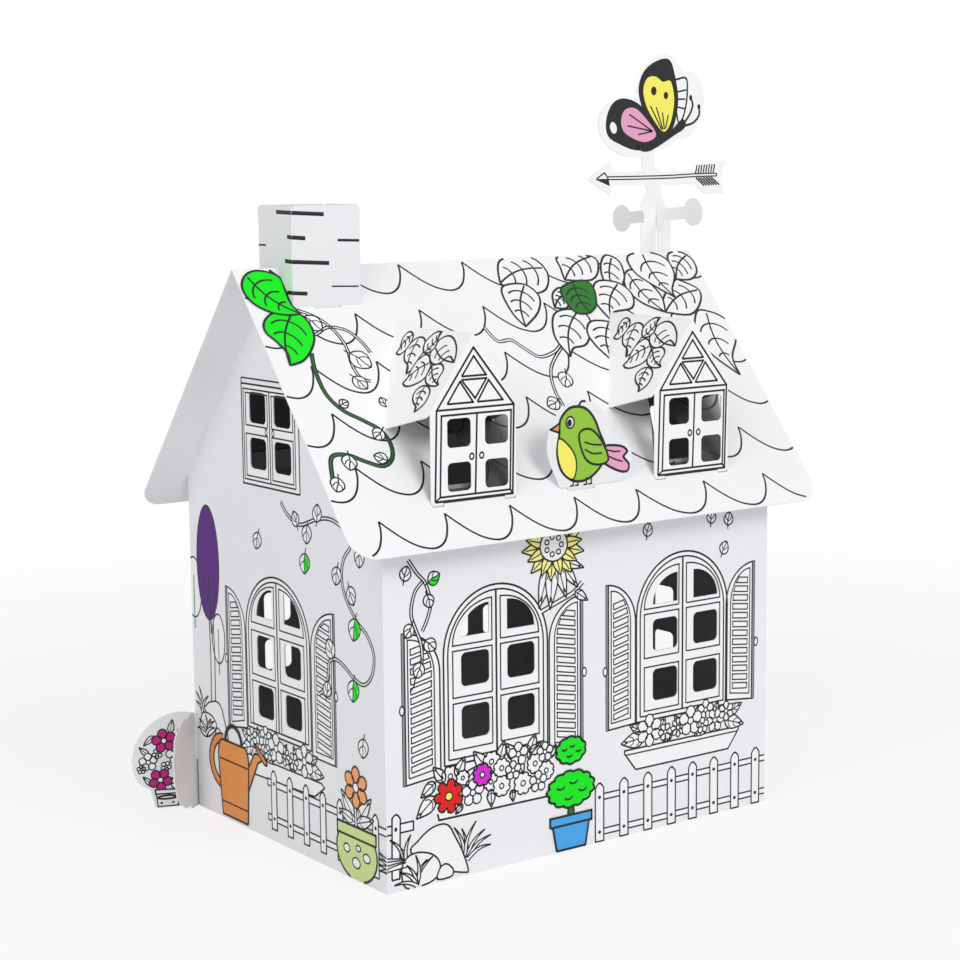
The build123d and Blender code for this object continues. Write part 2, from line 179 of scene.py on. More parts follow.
def line(sheet, points, layer=1, weight=1.0, closed=False, ink="ink"):
    sheet["lines"] += strokes(sheet, points, layer, weight, closed, ink)


# A filled outline cut to the card's limits
def clipped(points, bounds):
    left, low, right, high = bounds
    for axis, limit, side in ((0, left, 1), (0, right, -1), (1, low, 1), (1, high, -1)):
        kept = []
        for here, after in zip(points, points[1:] + points[:1]):
            a, b = side * (here[axis] - limit), side * (after[axis] - limit)
            if a >= 0:
                kept.append(here)
            if a * b < 0:
                t = a / (a - b)
                kept.append(tuple(here[k] + (after[k] - here[k]) * t for k in range(2)))
        points = kept
        if len(points) < 3:
            return []
    return points


def field(sheet, points, ink, layer=1, holes=()):
    points = [tuple(p[:2]) for p in points]
    if sheet["bounds"]:
        points = clipped(points, sheet["bounds"])
    if len(points) > 2:
        sheet["fields"].append((points, ink, layer, [list(hole) for hole in holes]))


# A closed outline filled with one colour
def shape(sheet, points, ink="white", layer=1, weight=1.0):
    field(sheet, points, ink, layer)
    line(sheet, points, layer, weight, closed=True)


# Even curve through the points
def smooth(points, closed=False, steps=5):
    count = len(points)
    spans = count if closed else count - 1
    out = []
    for index in range(spans):
        ids = [index - 1, index, index + 1, index + 2]
        if closed:
            p0, p1, p2, p3 = (Vector(points[k % count]) for k in ids)
        else:
            p0, p1, p2, p3 = (Vector(points[min(max(k, 0), count - 1)]) for k in ids)
        for step in range(steps):
            t = step / steps
            out.append(tuple(0.5 * (2 * p1 + (p2 - p0) * t + (2 * p0 - 5 * p1 + 4 * p2 - p3) * t ** 2
                                    + (3 * p1 - p0 - 3 * p2 + p3) * t ** 3)))
    if not closed:
        out.append(tuple(points[-1]))
    return out


def arc(middle, radii, start, end, steps=14):
    span = math.radians(end - start)
    return [(middle[0] + radii[0] * math.cos(math.radians(start) + span * k / steps),
             middle[1] + radii[1] * math.sin(math.radians(start) + span * k / steps))
            for k in range(steps + 1)]


def ring(middle, radii, steps=14, turn=0.0):
    c, s = math.cos(math.radians(turn)), math.sin(math.radians(turn))
    points = []
    for k in range(steps):
        a = math.tau * k / steps
        x, y = radii[0] * math.cos(a), radii[1] * math.sin(a)
        points.append((middle[0] + x * c - y * s, middle[1] + x * s + y * c))
    return points


def moved(points, x, y, turn=0.0, size=1.0):
    c, s = math.cos(math.radians(turn)) * size, math.sin(math.radians(turn)) * size
    return [(x + p[0] * c - p[1] * s, y + p[0] * s + p[1] * c) for p in points]


# The same line, pushed sideways
def beside(points, offset):
    out = []
    for index, here in enumerate(points):
        before = Vector(points[max(index - 1, 0)])
        after = Vector(points[min(index + 1, len(points) - 1)])
        way = (after - before).normalized()
        out.append((here[0] - way.y * offset, here[1] + way.x * offset))
    return out


# Motifs

leafForm = {"shoulder": 0.72, "lean": 0.12, "steps": 9, "firstVein": 0.2, "veinRange": 0.52, "veinRise": 0.17}


# Share of a leaf's half width at a share t of its length
def leafBow(t):
    return math.sin(math.pi * t ** leafForm["shoulder"]) * (1 - leafForm["lean"] * t)


def leafHalf(length, width, side):
    shares = [k / leafForm["steps"] for k in range(leafForm["steps"] + 1)]
    return [(length * t, side * width / 2 * leafBow(t)) for t in shares]


# Plain leaf from its base to its tip
def leafTo(sheet, base, tip, width, layer, ink="white", veins=3, weight=0.9):
    way = Vector(tip) - Vector(base)
    length, turn = way.length, math.degrees(math.atan2(way.y, way.x))

    def place(points):
        return moved(points, base[0], base[1], turn)

    top, low = leafHalf(length, width, 1), leafHalf(length, width, -1)
    field(sheet, place(top + low[-2:0:-1]), ink, layer)
    for half in (top, low):
        line(sheet, place(half), layer + 0.6, weight)
    line(sheet, place([(length * t, 0.0) for t in (0.03, 0.3, 0.55, 0.84)]), layer + 0.6, weight * 0.75)
    for k in range(veins):
        t = leafForm["firstVein"] + leafForm["veinRange"] * k / max(veins - 1, 1)
        reach = t + leafForm["veinRise"]
        for side in (-1, 1):
            end = (length * reach, side * width / 2 * leafBow(reach) * 0.78)
            middle = (length * (t + 0.05), end[1] * 0.66)
            line(sheet, place(smooth([(length * t, 0.0), middle, end], steps=3)), layer + 0.6, weight * 0.65)


# Flower with separate round petals
def petalFlower(sheet, x, y, radius, layer, petals=5, ink="white", heart="white", turn=90.0, weight=0.85):
    for k in range(petals):
        a = math.radians(turn + 360 * k / petals)
        middle = (x + 0.60 * radius * math.cos(a), y + 0.60 * radius * math.sin(a))
        width = 0.92 * radius * math.sin(math.pi / petals)
        shape(sheet, ring(middle, (0.40 * radius, width * 0.72), 12, math.degrees(a)), ink,
              layer + 0.1 * (k % 2), weight)
    shape(sheet, ring((x, y), (0.24 * radius, 0.24 * radius), 10), heart, layer + 0.9, weight)


# Flower with one scalloped edge and a ring in the middle
def frilledFlower(sheet, x, y, radius, layer, ink="white", heart="white", frills=8, weight=0.9, depth=0.2):
    points = []
    steps = frills * 5
    for k in range(steps):
        a = math.tau * k / steps
        r = radius * (1 - depth + depth * math.sqrt(abs(math.sin(frills * a / 2))))
        points.append((x + r * math.cos(a), y + r * math.sin(a)))
    field(sheet, points, ink, layer)
    for k in range(frills):
        run = points[k * 5:k * 5 + 6] if k < frills - 1 else points[k * 5:] + points[:1]
        line(sheet, run, layer + 0.3, weight)
    shape(sheet, ring((x, y), (0.25 * radius, 0.25 * radius), 10), heart, layer + 0.6, weight * 0.9)


grassForm = {"width": 1.9, "spread": 0.5, "bow": 0.12, "steps": 7, "taper": 2.2}


# Pointed blade of grass; bow bends it sideways
def grassBlade(sheet, base, tip, width, bow, layer):
    base, tip = Vector(base), Vector(tip)
    way = tip - base
    side = Vector((-way.y, way.x)).normalized()
    left, right = [], []
    for k in range(grassForm["steps"] + 1):
        t = k / grassForm["steps"]
        spine = base + way * t + side * bow * math.sin(math.pi * t)
        half = width / 2 * (1 - t ** grassForm["taper"])
        left.append(tuple(spine - side * half))
        right.append(tuple(spine + side * half))
    field(sheet, left + right[-2::-1], "white", layer)
    line(sheet, left, layer + 0.3, 0.8)
    line(sheet, right, layer + 0.3, 0.8)


# Blades that rise from one foot and bend outwards
def tuft(sheet, base, tips, layer):
    for index, tip in enumerate(tips):
        foot = (base[0] + grassForm["spread"] * (index - len(tips) / 2), base[1])
        bow = math.copysign(grassForm["bow"] * math.dist(foot, tip), tip[0] - foot[0])
        grassBlade(sheet, foot, tip, grassForm["width"], bow, layer + 0.8 * index)


# Stem drawn with two lines and filled between them
def vine(sheet, points, width, layer, ink="white"):
    path = smooth(points)
    filled = strokes(sheet, path, layer, 1.0, False, ink)
    sheet["rows"].append({"lines": filled, "lineWidth": width})
    for side in (-1, 1):
        line(sheet, beside(path, side * width / 2), layer + 0.6, 0.8)


# Leaf with a hand-drawn outline that starts at its tip; its rib ends half way round
def drawnLeaf(sheet, points, layer, ink="white", weight=1.0, veins=3, veinReach=0.72):
    outline = smooth(points + [points[0]], steps=4)[:-1]
    field(sheet, outline, ink, layer)
    line(sheet, outline, layer + 0.6, weight, closed=True)
    tip = Vector(points[0])
    lengths = [math.dist(a, b) for a, b in zip(outline, outline[1:] + outline[:1])]
    half, foot = sum(lengths) / 2, outline[0]
    for length, after in zip(lengths, outline[1:]):
        half -= length
        if half < 0:
            foot = Vector(after)
            break
    way = (tip - foot).normalized()
    across = Vector((way.y, -way.x))
    bow = across * (foot - tip).length * 0.1

    def onRib(t):
        return tip.lerp(foot, t) + bow * math.sin(math.pi * t)

    line(sheet, [onRib(t) for t in (0.0, 0.15, 0.3, 0.45, 0.6, 0.75, 0.96)], layer + 0.6, weight * 0.9)
    for k in range(veins):
        start = onRib(0.34 + 0.46 * k / max(veins - 1, 1))
        for side in (-1, 1):
            heading = (way * 0.55 + across * side).normalized()
            reach = 0.0
            while reach < 30 and within(outline, start + heading * (reach + 0.8)):
                reach += 0.8
            if reach > 2.4:
                end = start + heading * reach * veinReach
                bend = start + across * side * reach * veinReach * 0.55
                arch = [start.lerp(bend, t).lerp(bend.lerp(end, t), t) for t in (0, 0.2, 0.4, 0.6, 0.8, 1)]
                line(sheet, arch, layer + 0.6, weight * 0.85)


budForm = {
    "outline": ((0, 0), (0.28, 0.42), (0.66, 0.43), (1.0, 0.04), (0.62, -0.38), (0.24, -0.38)),
    "green": ((0, 0), (0.34, 0.08), (0.7, 0.03), (0.98, 0.04), (0.78, -0.24), (0.6, -0.36), (0.28, -0.36),
              (0.1, -0.2)),
    "folds": ((((0.0, 0.0), (0.38, 0.07), (0.72, 0.02), (0.98, 0.04)), 0.75),
              (((0.38, 0.07), (0.52, 0.28), (0.72, 0.36)), 0.65),
              (((0.30, 0.03), (0.46, -0.16), (0.68, -0.24)), 0.65)),
    "stalk": ((-0.28, -0.05), (0, 0)),
}


# Closed bud: two sepals that fold over a pointed middle; half colours its lower side
def bud(sheet, x, y, size, turn, layer, half=None):
    def place(points):
        return moved(points, x, y, turn, size)

    outline = smooth(place(budForm["outline"]), closed=True, steps=3)
    field(sheet, outline, "white", layer)
    if half:
        field(sheet, place(budForm["green"]), half, layer + 0.3)
    line(sheet, outline, layer + 0.6, 0.85, closed=True)
    for fold, weight in budForm["folds"]:
        line(sheet, smooth(place(fold), steps=3), layer + 0.6, weight)
    line(sheet, place(budForm["stalk"]), layer + 0.6, 0.75)


# Bud placed by its middle
def budAround(sheet, x, y, size, turn, layer, half=None):
    a = math.radians(turn)
    bud(sheet, x - size / 2 * math.cos(a), y - size / 2 * math.sin(a), size, turn, layer, half=half)


def rectangle(sheet, low, high, layer, ink="white", weight=1.0):
    shape(sheet, [low, (high[0], low[1]), high, (low[0], high[1])], ink, layer, weight)


# Windows, shutters and flower boxes

paneCuts = {
    "front": {"places": (65.0, 183.4), "width": 16.5, "height": 16.3, "mullion": 10.6,
              "sills": (66.7, 92.2), "archSill": 116.2, "archHeight": 14.8, "round": 2.8},
    "gable": {"places": (93.6,), "width": 15.3, "height": 16.3, "mullion": 11.2,
              "sills": (62.0, 87.4), "archSill": 113.2, "archHeight": 15.0, "round": 2.8},
    "attic": {"places": (96.9,), "width": 15.6, "height": 15.4, "mullion": 7.6,
              "sills": (187.4, 210.0), "round": 2.8},
    "dormer": {"places": (2.4,), "width": 13.5, "height": 13.5, "mullion": 8.1,
               "sills": (4.5, 25.0), "round": 2.4},
}


# Box with its own radius at each corner, from the lower left one round to the right
def roundBox(left, low, right, high, rounds):
    corners = ((left, low, 180, rounds[0]), (right, low, 270, rounds[1]),
               (right, high, 0, rounds[2]), (left, high, 90, rounds[3]))
    points = []
    for x, y, start, r in corners:
        inX, inY = (1 if x == left else -1) * r, (1 if y == low else -1) * r
        points += arc((x + inX, y + inY), (r, r), start, start + 90, 6)
    return points


paneClear = 0.12    # how much larger a drawing's opening is than the cut in the card, all round


# Outlines of one window's openings
def paneHoles(cut, place):
    holes, clear = [], paneClear
    r = cut["round"]
    for side in (-1, 1):
        near = place + side * (cut["mullion"] / 2 - clear)
        away = place + side * (cut["mullion"] / 2 + cut["width"] + clear)
        left, right = min(near, away), max(near, away)
        for sill in cut["sills"]:
            holes.append(roundBox(left, sill - clear, right, sill + cut["height"] + clear, (r, r, r, r)))
        if "archSill" in cut:
            foot = (near, cut["archSill"] - clear)
            radii = (cut["width"] + 2 * clear, cut["archHeight"] + 2 * clear)
            start = 0 if side > 0 else 90
            holes.append([foot] + arc(foot, radii, start, start + 90, 12))
    return holes


windowDrawing = {
    "band": 2.5,           # between the frame's two lines
    "paneBoxHeight": 22.4,
    "stile": 2.5,          # from the middle line to a pane's box
}


# Frame, meeting line and the outlines round the panes of one arched window
def archedWindow(sheet, middle, half, sills, quarterSill, spring, top, bottom, holes, paneBoxWidth=22.9,
                 quarterTop=20.5):
    band, drawing = windowDrawing["band"], windowDrawing
    for inset in (0.0, band):
        curve = arc((middle, spring), (half - inset, top - spring - inset), 0, 180, 26)
        outline = ([(middle - half + inset, bottom + inset), (middle + half - inset, bottom + inset)]
                   + curve)
        if inset == 0.0:
            field(sheet, outline, "white", 1, holes)
        line(sheet, outline, 2, 1.1 if inset == 0.0 else 0.95, closed=True)
    line(sheet, [(middle, bottom + band), (middle, top - band)], 2, 1.25)
    for side in (-1, 1):
        near = middle + side * drawing["stile"]
        away = near + side * paneBoxWidth
        for sill in sills:
            level = sill + drawing["paneBoxHeight"]
            line(sheet, [(near, sill), (away, sill), (away, level), (near, level)], 2, 0.85, closed=True)
        start, end = (0, 90) if side > 0 else (180, 90)
        curve = arc((near, quarterSill), (paneBoxWidth, quarterTop), start, end)
        line(sheet, [(near, quarterSill)] + curve, 2, 0.85, closed=True)


shutterDrawing = {"layer": 1, "edge": 1.5, "inset": 3.2, "slatPitch": 4.65, "slatHeight": 2.9, "slatGap": 1.6}


# Half-arched shutter with slats; rise is how much a slat climbs towards the window
def shutter(sheet, outer, hinge, foot, hingeFoot, top, drop, rise):
    way = 1 if hinge > outer else -1
    wide = abs(hinge - outer)
    drawing = shutterDrawing
    layer = drawing["layer"]

    def contour(inset):
        reach = wide - inset
        curve = [(outer + way * (inset + (reach - inset) * math.sin(a)),
                  top - inset - (drop - inset) * (1 - math.cos(a)))
                 for a in (math.pi / 2 * k / 12 for k in range(13))]
        return [(outer + way * inset, foot + inset)] + curve + [(hinge - way * inset, hingeFoot + inset)]

    shape(sheet, contour(0.0), "white", layer)
    field(sheet, [(outer, foot), (outer + way * drawing["edge"], foot + 0.3),
                  (outer + way * drawing["edge"], top - 0.2), (outer, top)], "grey", layer + 0.4)
    line(sheet, [(outer + way * drawing["edge"], foot), (outer + way * drawing["edge"], top)], layer + 1, 0.9)
    line(sheet, contour(drawing["inset"]), layer + 1, 0.8, closed=True)

    # Slats of full length repeat up the shutter; those under the arch are cut to it
    start = outer + way * (drawing["inset"] + drawing["slatGap"])
    fullEnd = hinge - way * (drawing["inset"] + drawing["slatGap"])
    first = max(foot, hingeFoot) + drawing["inset"] + drawing["slatGap"] - rise * 0.5
    straight = top - drop - first - rise - 1
    count = max(1, int(straight / drawing["slatPitch"]))
    slat = [(start, first), (fullEnd, first + rise), (fullEnd, first + rise + drawing["slatHeight"]),
            (start, first + drawing["slatHeight"])]
    sheet["rows"].append({"lines": [(run, layer + 1, 0.78, False, "ink") for run in splitRuns(slat, True)],
                          "rows": count, "rowStep": (0, drawing["slatPitch"])})
    level = first + count * drawing["slatPitch"]
    ellipseWide = wide - drawing["inset"] * 2 - drawing["slatGap"] * 2
    ellipseTall = drop - drawing["inset"] - 1.0
    spring = top - drop
    ceiling = top - drawing["inset"] - 1.6
    while level + drawing["slatHeight"] < ceiling:
        over = [max(0.0, min(1.0, (level + rise * 0.6 + part - spring) / ellipseTall))
                for part in (0.0, drawing["slatHeight"])]
        ends = [math.sqrt(max(0.0, 1 - o ** 2)) for o in over]
        if ends[1] * ellipseWide < 2.0:
            break
        lowEnd = (start + way * ellipseWide * ends[0], level + rise * ends[0])
        highEnd = (start + way * ellipseWide * ends[1], level + drawing["slatHeight"] + rise * ends[1])
        line(sheet, [(start, level), lowEnd, highEnd, (start, level + drawing["slatHeight"])],
             layer + 1, 0.78, closed=True)
        level += drawing["slatPitch"]


def knob(sheet, x, y, radii=(1.3, 2.2), layer=2):
    shape(sheet, ring((x, y), radii, 10), "white", layer, 0.8)


fenceDrawing = {"pitch": 15.8, "width": 5.4, "foot": 0.5, "shoulder": 27.6, "tip": 30.2, "headTail": 0.0}


# Pickets in a row, each with the stretch of the two rails to the next one
def fence(sheet, first, count, direction, railLevels, layer, railTail=4.0, drawing=fenceDrawing):
    half = drawing["width"] / 2
    outline = [(-half, drawing["foot"]), (half, drawing["foot"]), (half, drawing["shoulder"]),
               (half * 0.78, drawing["shoulder"] + 1.1), (half * 0.24, drawing["tip"]),
               (-half * 0.24, drawing["tip"]), (-half * 0.78, drawing["shoulder"] + 1.1),
               (-half, drawing["shoulder"])]
    picket = [(run, layer + 1, 0.95, False, "ink") for run in splitRuns(moved(outline, first, 0), True)]
    rails = []
    for low, high in railLevels:
        start = first + direction * half
        end = first + direction * (drawing["pitch"] - half)
        rails += [([(start, level), (end, level)], layer + 1, 0.9, False, "ink") for level in (low, high)]
        for k in range(count):
            place = first + direction * k * drawing["pitch"]
            stretch = direction * (drawing["pitch"] if k < count - 1 else half + railTail)
            field(sheet, [(place, low), (place + stretch, low), (place + stretch, high), (place, high)],
                  "white", layer)
            field(sheet, ring((place, (low + high) / 2), (1.0, 0.95), 10), "ink", layer + 1.5)
        last = first + direction * ((count - 1) * drawing["pitch"] + half)
        for level in (low, high):
            line(sheet, [(last, level), (last + direction * railTail, level)], layer + 1, 0.9)
        if drawing["headTail"]:
            head = first - direction * (half + drawing["headTail"])
            field(sheet, [(first, low), (head, low), (head, high), (first, high)], "white", layer)
            line(sheet, [(first - direction * half, low), (head, low), (head, high),
                         (first - direction * half, high)],
                 layer + 1, 0.9)
    for k in range(count):
        field(sheet, moved(outline, first + direction * k * drawing["pitch"], 0), "white", layer + 0.5)
    step = (direction * drawing["pitch"], 0)
    sheet["rows"].append({"lines": picket, "columns": count, "columnStep": step})
    sheet["rows"].append({"lines": rails, "columns": count - 1, "columnStep": step})


# Materials

def socket(group, name, kind, way="INPUT", value=None):
    made = group.interface.new_socket(name=name, in_out=way, socket_type=kind)
    if value is not None:
        made.default_value = value
    return made


cardSurface = {
    "cloudScale": 14.0, "cloudDetail": 3.0, "cloudMiddle": 0.5,
    "grainScale": 900.0, "grainDetail": 2.0, "grainDepth": 0.0002,
}


# Shared look of matt card: faint cloudiness in the colour, a fine grain in the surface, and painted shade
# inside the house and behind the dormers
def cardGroup():
    tree = bpy.data.node_groups.new("mattCard", "ShaderNodeTree")
    for name, value in (("Tint", (0.8, 0.8, 0.8, 1)), ("Painted Inside Shade", (0.3, 0.3, 0.3, 1))):
        socket(tree, name, "NodeSocketColor", value=value)
    for name, value in (("Dormer Reach", 1.0), ("Cloudiness", 0.02), ("Grain", 0.05)):
        socket(tree, name, "NodeSocketFloat", value=value)
    socket(tree, "Colour", "NodeSocketColor", "OUTPUT")
    socket(tree, "Normal", "NodeSocketVector", "OUTPUT")
    add, link = tree.nodes.new, tree.links.new
    entry, leave = add("NodeGroupInput"), add("NodeGroupOutput")
    place = add("ShaderNodeTexCoord")

    def maths(operation, *values):
        node = add("ShaderNodeMath")
        node.operation = operation
        for place, value in zip(node.inputs, values):
            if isinstance(value, (int, float)):
                place.default_value = value
            else:
                link(value, place)
        return node.outputs[0]

    def allOf(tests):
        share = tests[0]
        for test in tests[1:]:
            share = maths("MULTIPLY", share, test)
        return share

    def noise(scale, detail):
        node = add("ShaderNodeTexNoise")
        node.inputs["Scale"].default_value = scale
        node.inputs["Detail"].default_value = detail
        link(place.outputs["Object"], node.inputs["Vector"])
        return node.outputs["Fac"]

    clouds = maths("SUBTRACT", noise(cardSurface["cloudScale"], cardSurface["cloudDetail"]),
                   cardSurface["cloudMiddle"])
    amount = maths("MULTIPLY_ADD", clouds, entry.outputs["Cloudiness"], 1.0)

    # Painted shade: what lies between the walls and under the roof is given a darker tint, in place of the
    # little light that reaches it
    apart = add("ShaderNodeSeparateXYZ")
    link(place.outputs["Object"], apart.inputs[0])
    x, y, z = (apart.outputs[axis] for axis in "XYZ")
    away = maths("ABSOLUTE", maths("SUBTRACT", y, insideShade["ridgeY"]))
    underRoof = maths("ADD", z, maths("MULTIPLY", away, roofPitch))
    paintedShadeMask = allOf((maths("GREATER_THAN", x, insideShade["left"]), maths("LESS_THAN", x, insideShade["right"]),
                  maths("LESS_THAN", away, insideShade["reach"]),
                  maths("LESS_THAN", underRoof, insideShade["top"])))

    # Painted shade also darkens the room behind each dormer's front, between its wings and what its panes
    # show past them, and fades out as a painted shadow on the roof to the right of each dormer
    for middle in dormerShade["places"]:
        off = maths("SUBTRACT", x, middle)
        depth = maths("SUBTRACT", y, dormerShade["front"])
        slanted = maths("ABSOLUTE", maths("SUBTRACT", off, maths("MULTIPLY", depth, dormerShade["slant"])))
        underWings = maths("ADD", z, maths("MULTIPLY", maths("ABSOLUTE", off), dormerShade["slope"]))
        left = maths("DIVIDE", maths("SUBTRACT", entry.outputs["Dormer Reach"], off), dormerShade["fade"])
        pastWing = maths("MULTIPLY", maths("GREATER_THAN", off, dormerShade["pastWing"]),
                         maths("LESS_THAN", depth, dormerShade["paneDepth"]))
        under = allOf((maths("MAXIMUM", maths("MINIMUM", left, 1.0), 0.0), maths("GREATER_THAN", depth, 0.0),
                       maths("LESS_THAN", depth, dormerShade["depth"]),
                       maths("LESS_THAN", slanted, dormerShade["half"]),
                       maths("MAXIMUM", maths("LESS_THAN", underWings, dormerShade["top"]), pastWing)))
        paintedShadeMask = maths("MAXIMUM", paintedShadeMask, under)
    side = add("ShaderNodeMix")
    side.data_type = "RGBA"
    link(paintedShadeMask, side.inputs["Factor"])
    link(entry.outputs["Tint"], side.inputs["A"])
    link(entry.outputs["Painted Inside Shade"], side.inputs["B"])
    shaded = add("ShaderNodeVectorMath")
    shaded.operation = "SCALE"
    link(side.outputs["Result"], shaded.inputs[0])
    link(amount, shaded.inputs["Scale"])
    link(shaded.outputs[0], leave.inputs["Colour"])

    bump = add("ShaderNodeBump")
    bump.inputs["Distance"].default_value = cardSurface["grainDepth"]
    link(entry.outputs["Grain"], bump.inputs["Strength"])
    link(noise(cardSurface["grainScale"], cardSurface["grainDetail"]), bump.inputs["Height"])
    link(bump.outputs["Normal"], leave.inputs["Normal"])
    return tree


dormer = {
    "places": (53.4, 188.8), "front": standLine - house["card"] / 2,
    "half": 24.5, "side": 42.5, "peak": 77.5, "wingDrop": 12.0,
    "wingReach": 90.0,    # past the line where a wing meets the roof
}
dormerRise = dormer["peak"] - dormer["side"]
# Where painted shade darkens the room behind each dormer and, as a painted shadow, the roof to its right
dormerShade = {
    "places": [corner.x + place * mm for place in dormer["places"]],
    "slope": dormerRise / dormer["half"],
    "front": corner.y + standLine * mm,
    "depth": 58 * mm,
    "half": (dormer["half"] - 0.7) * mm,
    "slant": 0.73,           # sideways for each step back: the room behind a window front, seen from the left
    "fade": 30 * mm,         # over which the painted shade thins out on the roof at the right
    "reach": {"roof_card": 62 * mm, "printed_card": 50 * mm},
    "pastWing": 31.6 * mm,   # to the right of the wings, a pane shows the roof no deeper than this:
    "paneDepth": 32 * mm,
    "top": (standHeight + dormer["peak"] - 0.5) * mm,
}
insideGap = 0.0004
# Bounds of the painted shade inside the house
insideShade = {
    "left": corner.x + insideGap,
    "right": wallHigh.x - insideGap,
    "ridgeY": corner.y + ridgeLine * mm,
    "reach": ridgeLine * mm - insideGap,
    "top": house["ridge"] * mm + 0.0003,
}
mattCard = cardGroup()


def cardMaterial(name, tint, paintedInsideShade=None, cloudiness=0.03, grain=0.08, rough=0.62):
    made = bpy.data.materials.new(name)
    made.use_nodes = True
    nodes, link = made.node_tree.nodes, made.node_tree.links.new
    shader = nodes["Principled BSDF"]
    shader.inputs["Roughness"].default_value = rough
    shader.inputs["Specular IOR Level"].default_value = 0.25
    look = nodes.new("ShaderNodeGroup")
    look.node_tree = mattCard
    look.inputs["Tint"].default_value = (*tint, 1)
    look.inputs["Painted Inside Shade"].default_value = (*(paintedInsideShade or tint), 1)
    look.inputs["Dormer Reach"].default_value = dormerShade["reach"].get(name, 1.0)
    look.inputs["Cloudiness"].default_value = cloudiness
    look.inputs["Grain"].default_value = grain
    link(look.outputs["Colour"], shader.inputs["Base Color"])
    link(look.outputs["Normal"], shader.inputs["Normal"])
    return made


# Each card's own tint, then the painted shade given to its faces inside the house and behind the dormers; the
# dormer card is made paler than the rest as painted light, so its wings look brightly lit
cards = {
    "printed_card": ((0.85, 0.854, 0.865), (0.34, 0.34, 0.35)),
    "roof_card": ((0.885, 0.888, 0.895), (0.075, 0.075, 0.08)),
    "chimney_card": ((0.83, 0.834, 0.845), None),
    "dormer_card": ((0.92, 0.922, 0.925), (0.14, 0.14, 0.145)),
    "bird_card": ((0.84, 0.842, 0.85), None),
    "vane_card": ((0.92, 0.922, 0.928), None),
}
cardLooks = {name: cardMaterial(name, *tints) for name, tints in cards.items()}
inkLooks = {name: cardMaterial("print_" + name, tint, cloudiness=0.05, grain=0.05, rough=0.5)
            for name, tint in inks.items()}
cadNodes = {
    "wall_wrap": "printed_card", "roof_sheet": "roof_card", "chimney": "chimney_card",
    "dormer_left": "dormer_card", "dormer_right": "dormer_card", "roof_bird": "bird_card",
    "vane_blade": "vane_card", "vane_arms": "vane_card",
}
for nodeName, cardName in cadNodes.items():
    mesh = bpy.data.objects[nodeName].data
    mesh.materials.clear()
    mesh.materials.append(cardLooks[cardName])
print("materials ready")


# From drawings to printed pieces

# Draws a path as flat strips of ink, repeated in columns and rows
def lineTree():
    tree = bpy.data.node_groups.new("printedLines", "GeometryNodeTree")
    socket(tree, "Drawing", "NodeSocketGeometry")
    for name, value in (("Line Width", 0.6), ("Ink Height", 0.01)):
        socket(tree, name, "NodeSocketFloat", value=value)
    for name in ("Columns", "Rows"):
        socket(tree, name, "NodeSocketInt", value=1)
    for name in ("Column Step", "Row Step"):
        socket(tree, name, "NodeSocketVector")
    socket(tree, "Ink", "NodeSocketMaterial")
    socket(tree, "Print", "NodeSocketGeometry", "OUTPUT")
    add, link = tree.nodes.new, tree.links.new
    entry, leave = add("NodeGroupInput"), add("NodeGroupOutput")
    drawing = entry.outputs["Drawing"]
    for count, step in (("Columns", "Column Step"), ("Rows", "Row Step")):
        places = add("GeometryNodeMeshLine")
        link(entry.outputs[count], places.inputs["Count"])
        link(entry.outputs[step], places.inputs["Offset"])
        copies = add("GeometryNodeInstanceOnPoints")
        link(places.outputs["Mesh"], copies.inputs["Points"])
        link(drawing, copies.inputs["Instance"])
        real = add("GeometryNodeRealizeInstances")
        link(copies.outputs["Instances"], real.inputs["Geometry"])
        drawing = real.outputs["Geometry"]
    upright = add("GeometryNodeSetCurveNormal")
    upright.mode = "Z_UP"
    link(drawing, upright.inputs["Curve"])
    profile = add("GeometryNodeCurvePrimitiveQuadrilateral")
    link(entry.outputs["Line Width"], profile.inputs["Width"])
    link(entry.outputs["Ink Height"], profile.inputs["Height"])
    weight = add("GeometryNodeInputRadius")
    strip = add("GeometryNodeCurveToMesh")
    strip.inputs["Fill Caps"].default_value = True
    link(upright.outputs["Curve"], strip.inputs["Curve"])
    link(profile.outputs["Curve"], strip.inputs["Profile Curve"])
    link(weight.outputs[0], strip.inputs["Scale"])
    inked = add("GeometryNodeSetMaterial")
    link(strip.outputs["Mesh"], inked.inputs["Geometry"])
    link(entry.outputs["Ink"], inked.inputs["Material"])
    last = add("GeometryNodeRealizeInstances")
    link(inked.outputs["Geometry"], last.inputs["Geometry"])
    link(last.outputs["Geometry"], leave.inputs["Print"])
    return tree


printedLines = lineTree()
treeSockets = {item.name: item.identifier for item in printedLines.interface.items_tree
               if item.item_type == "SOCKET" and item.in_out == "INPUT"}


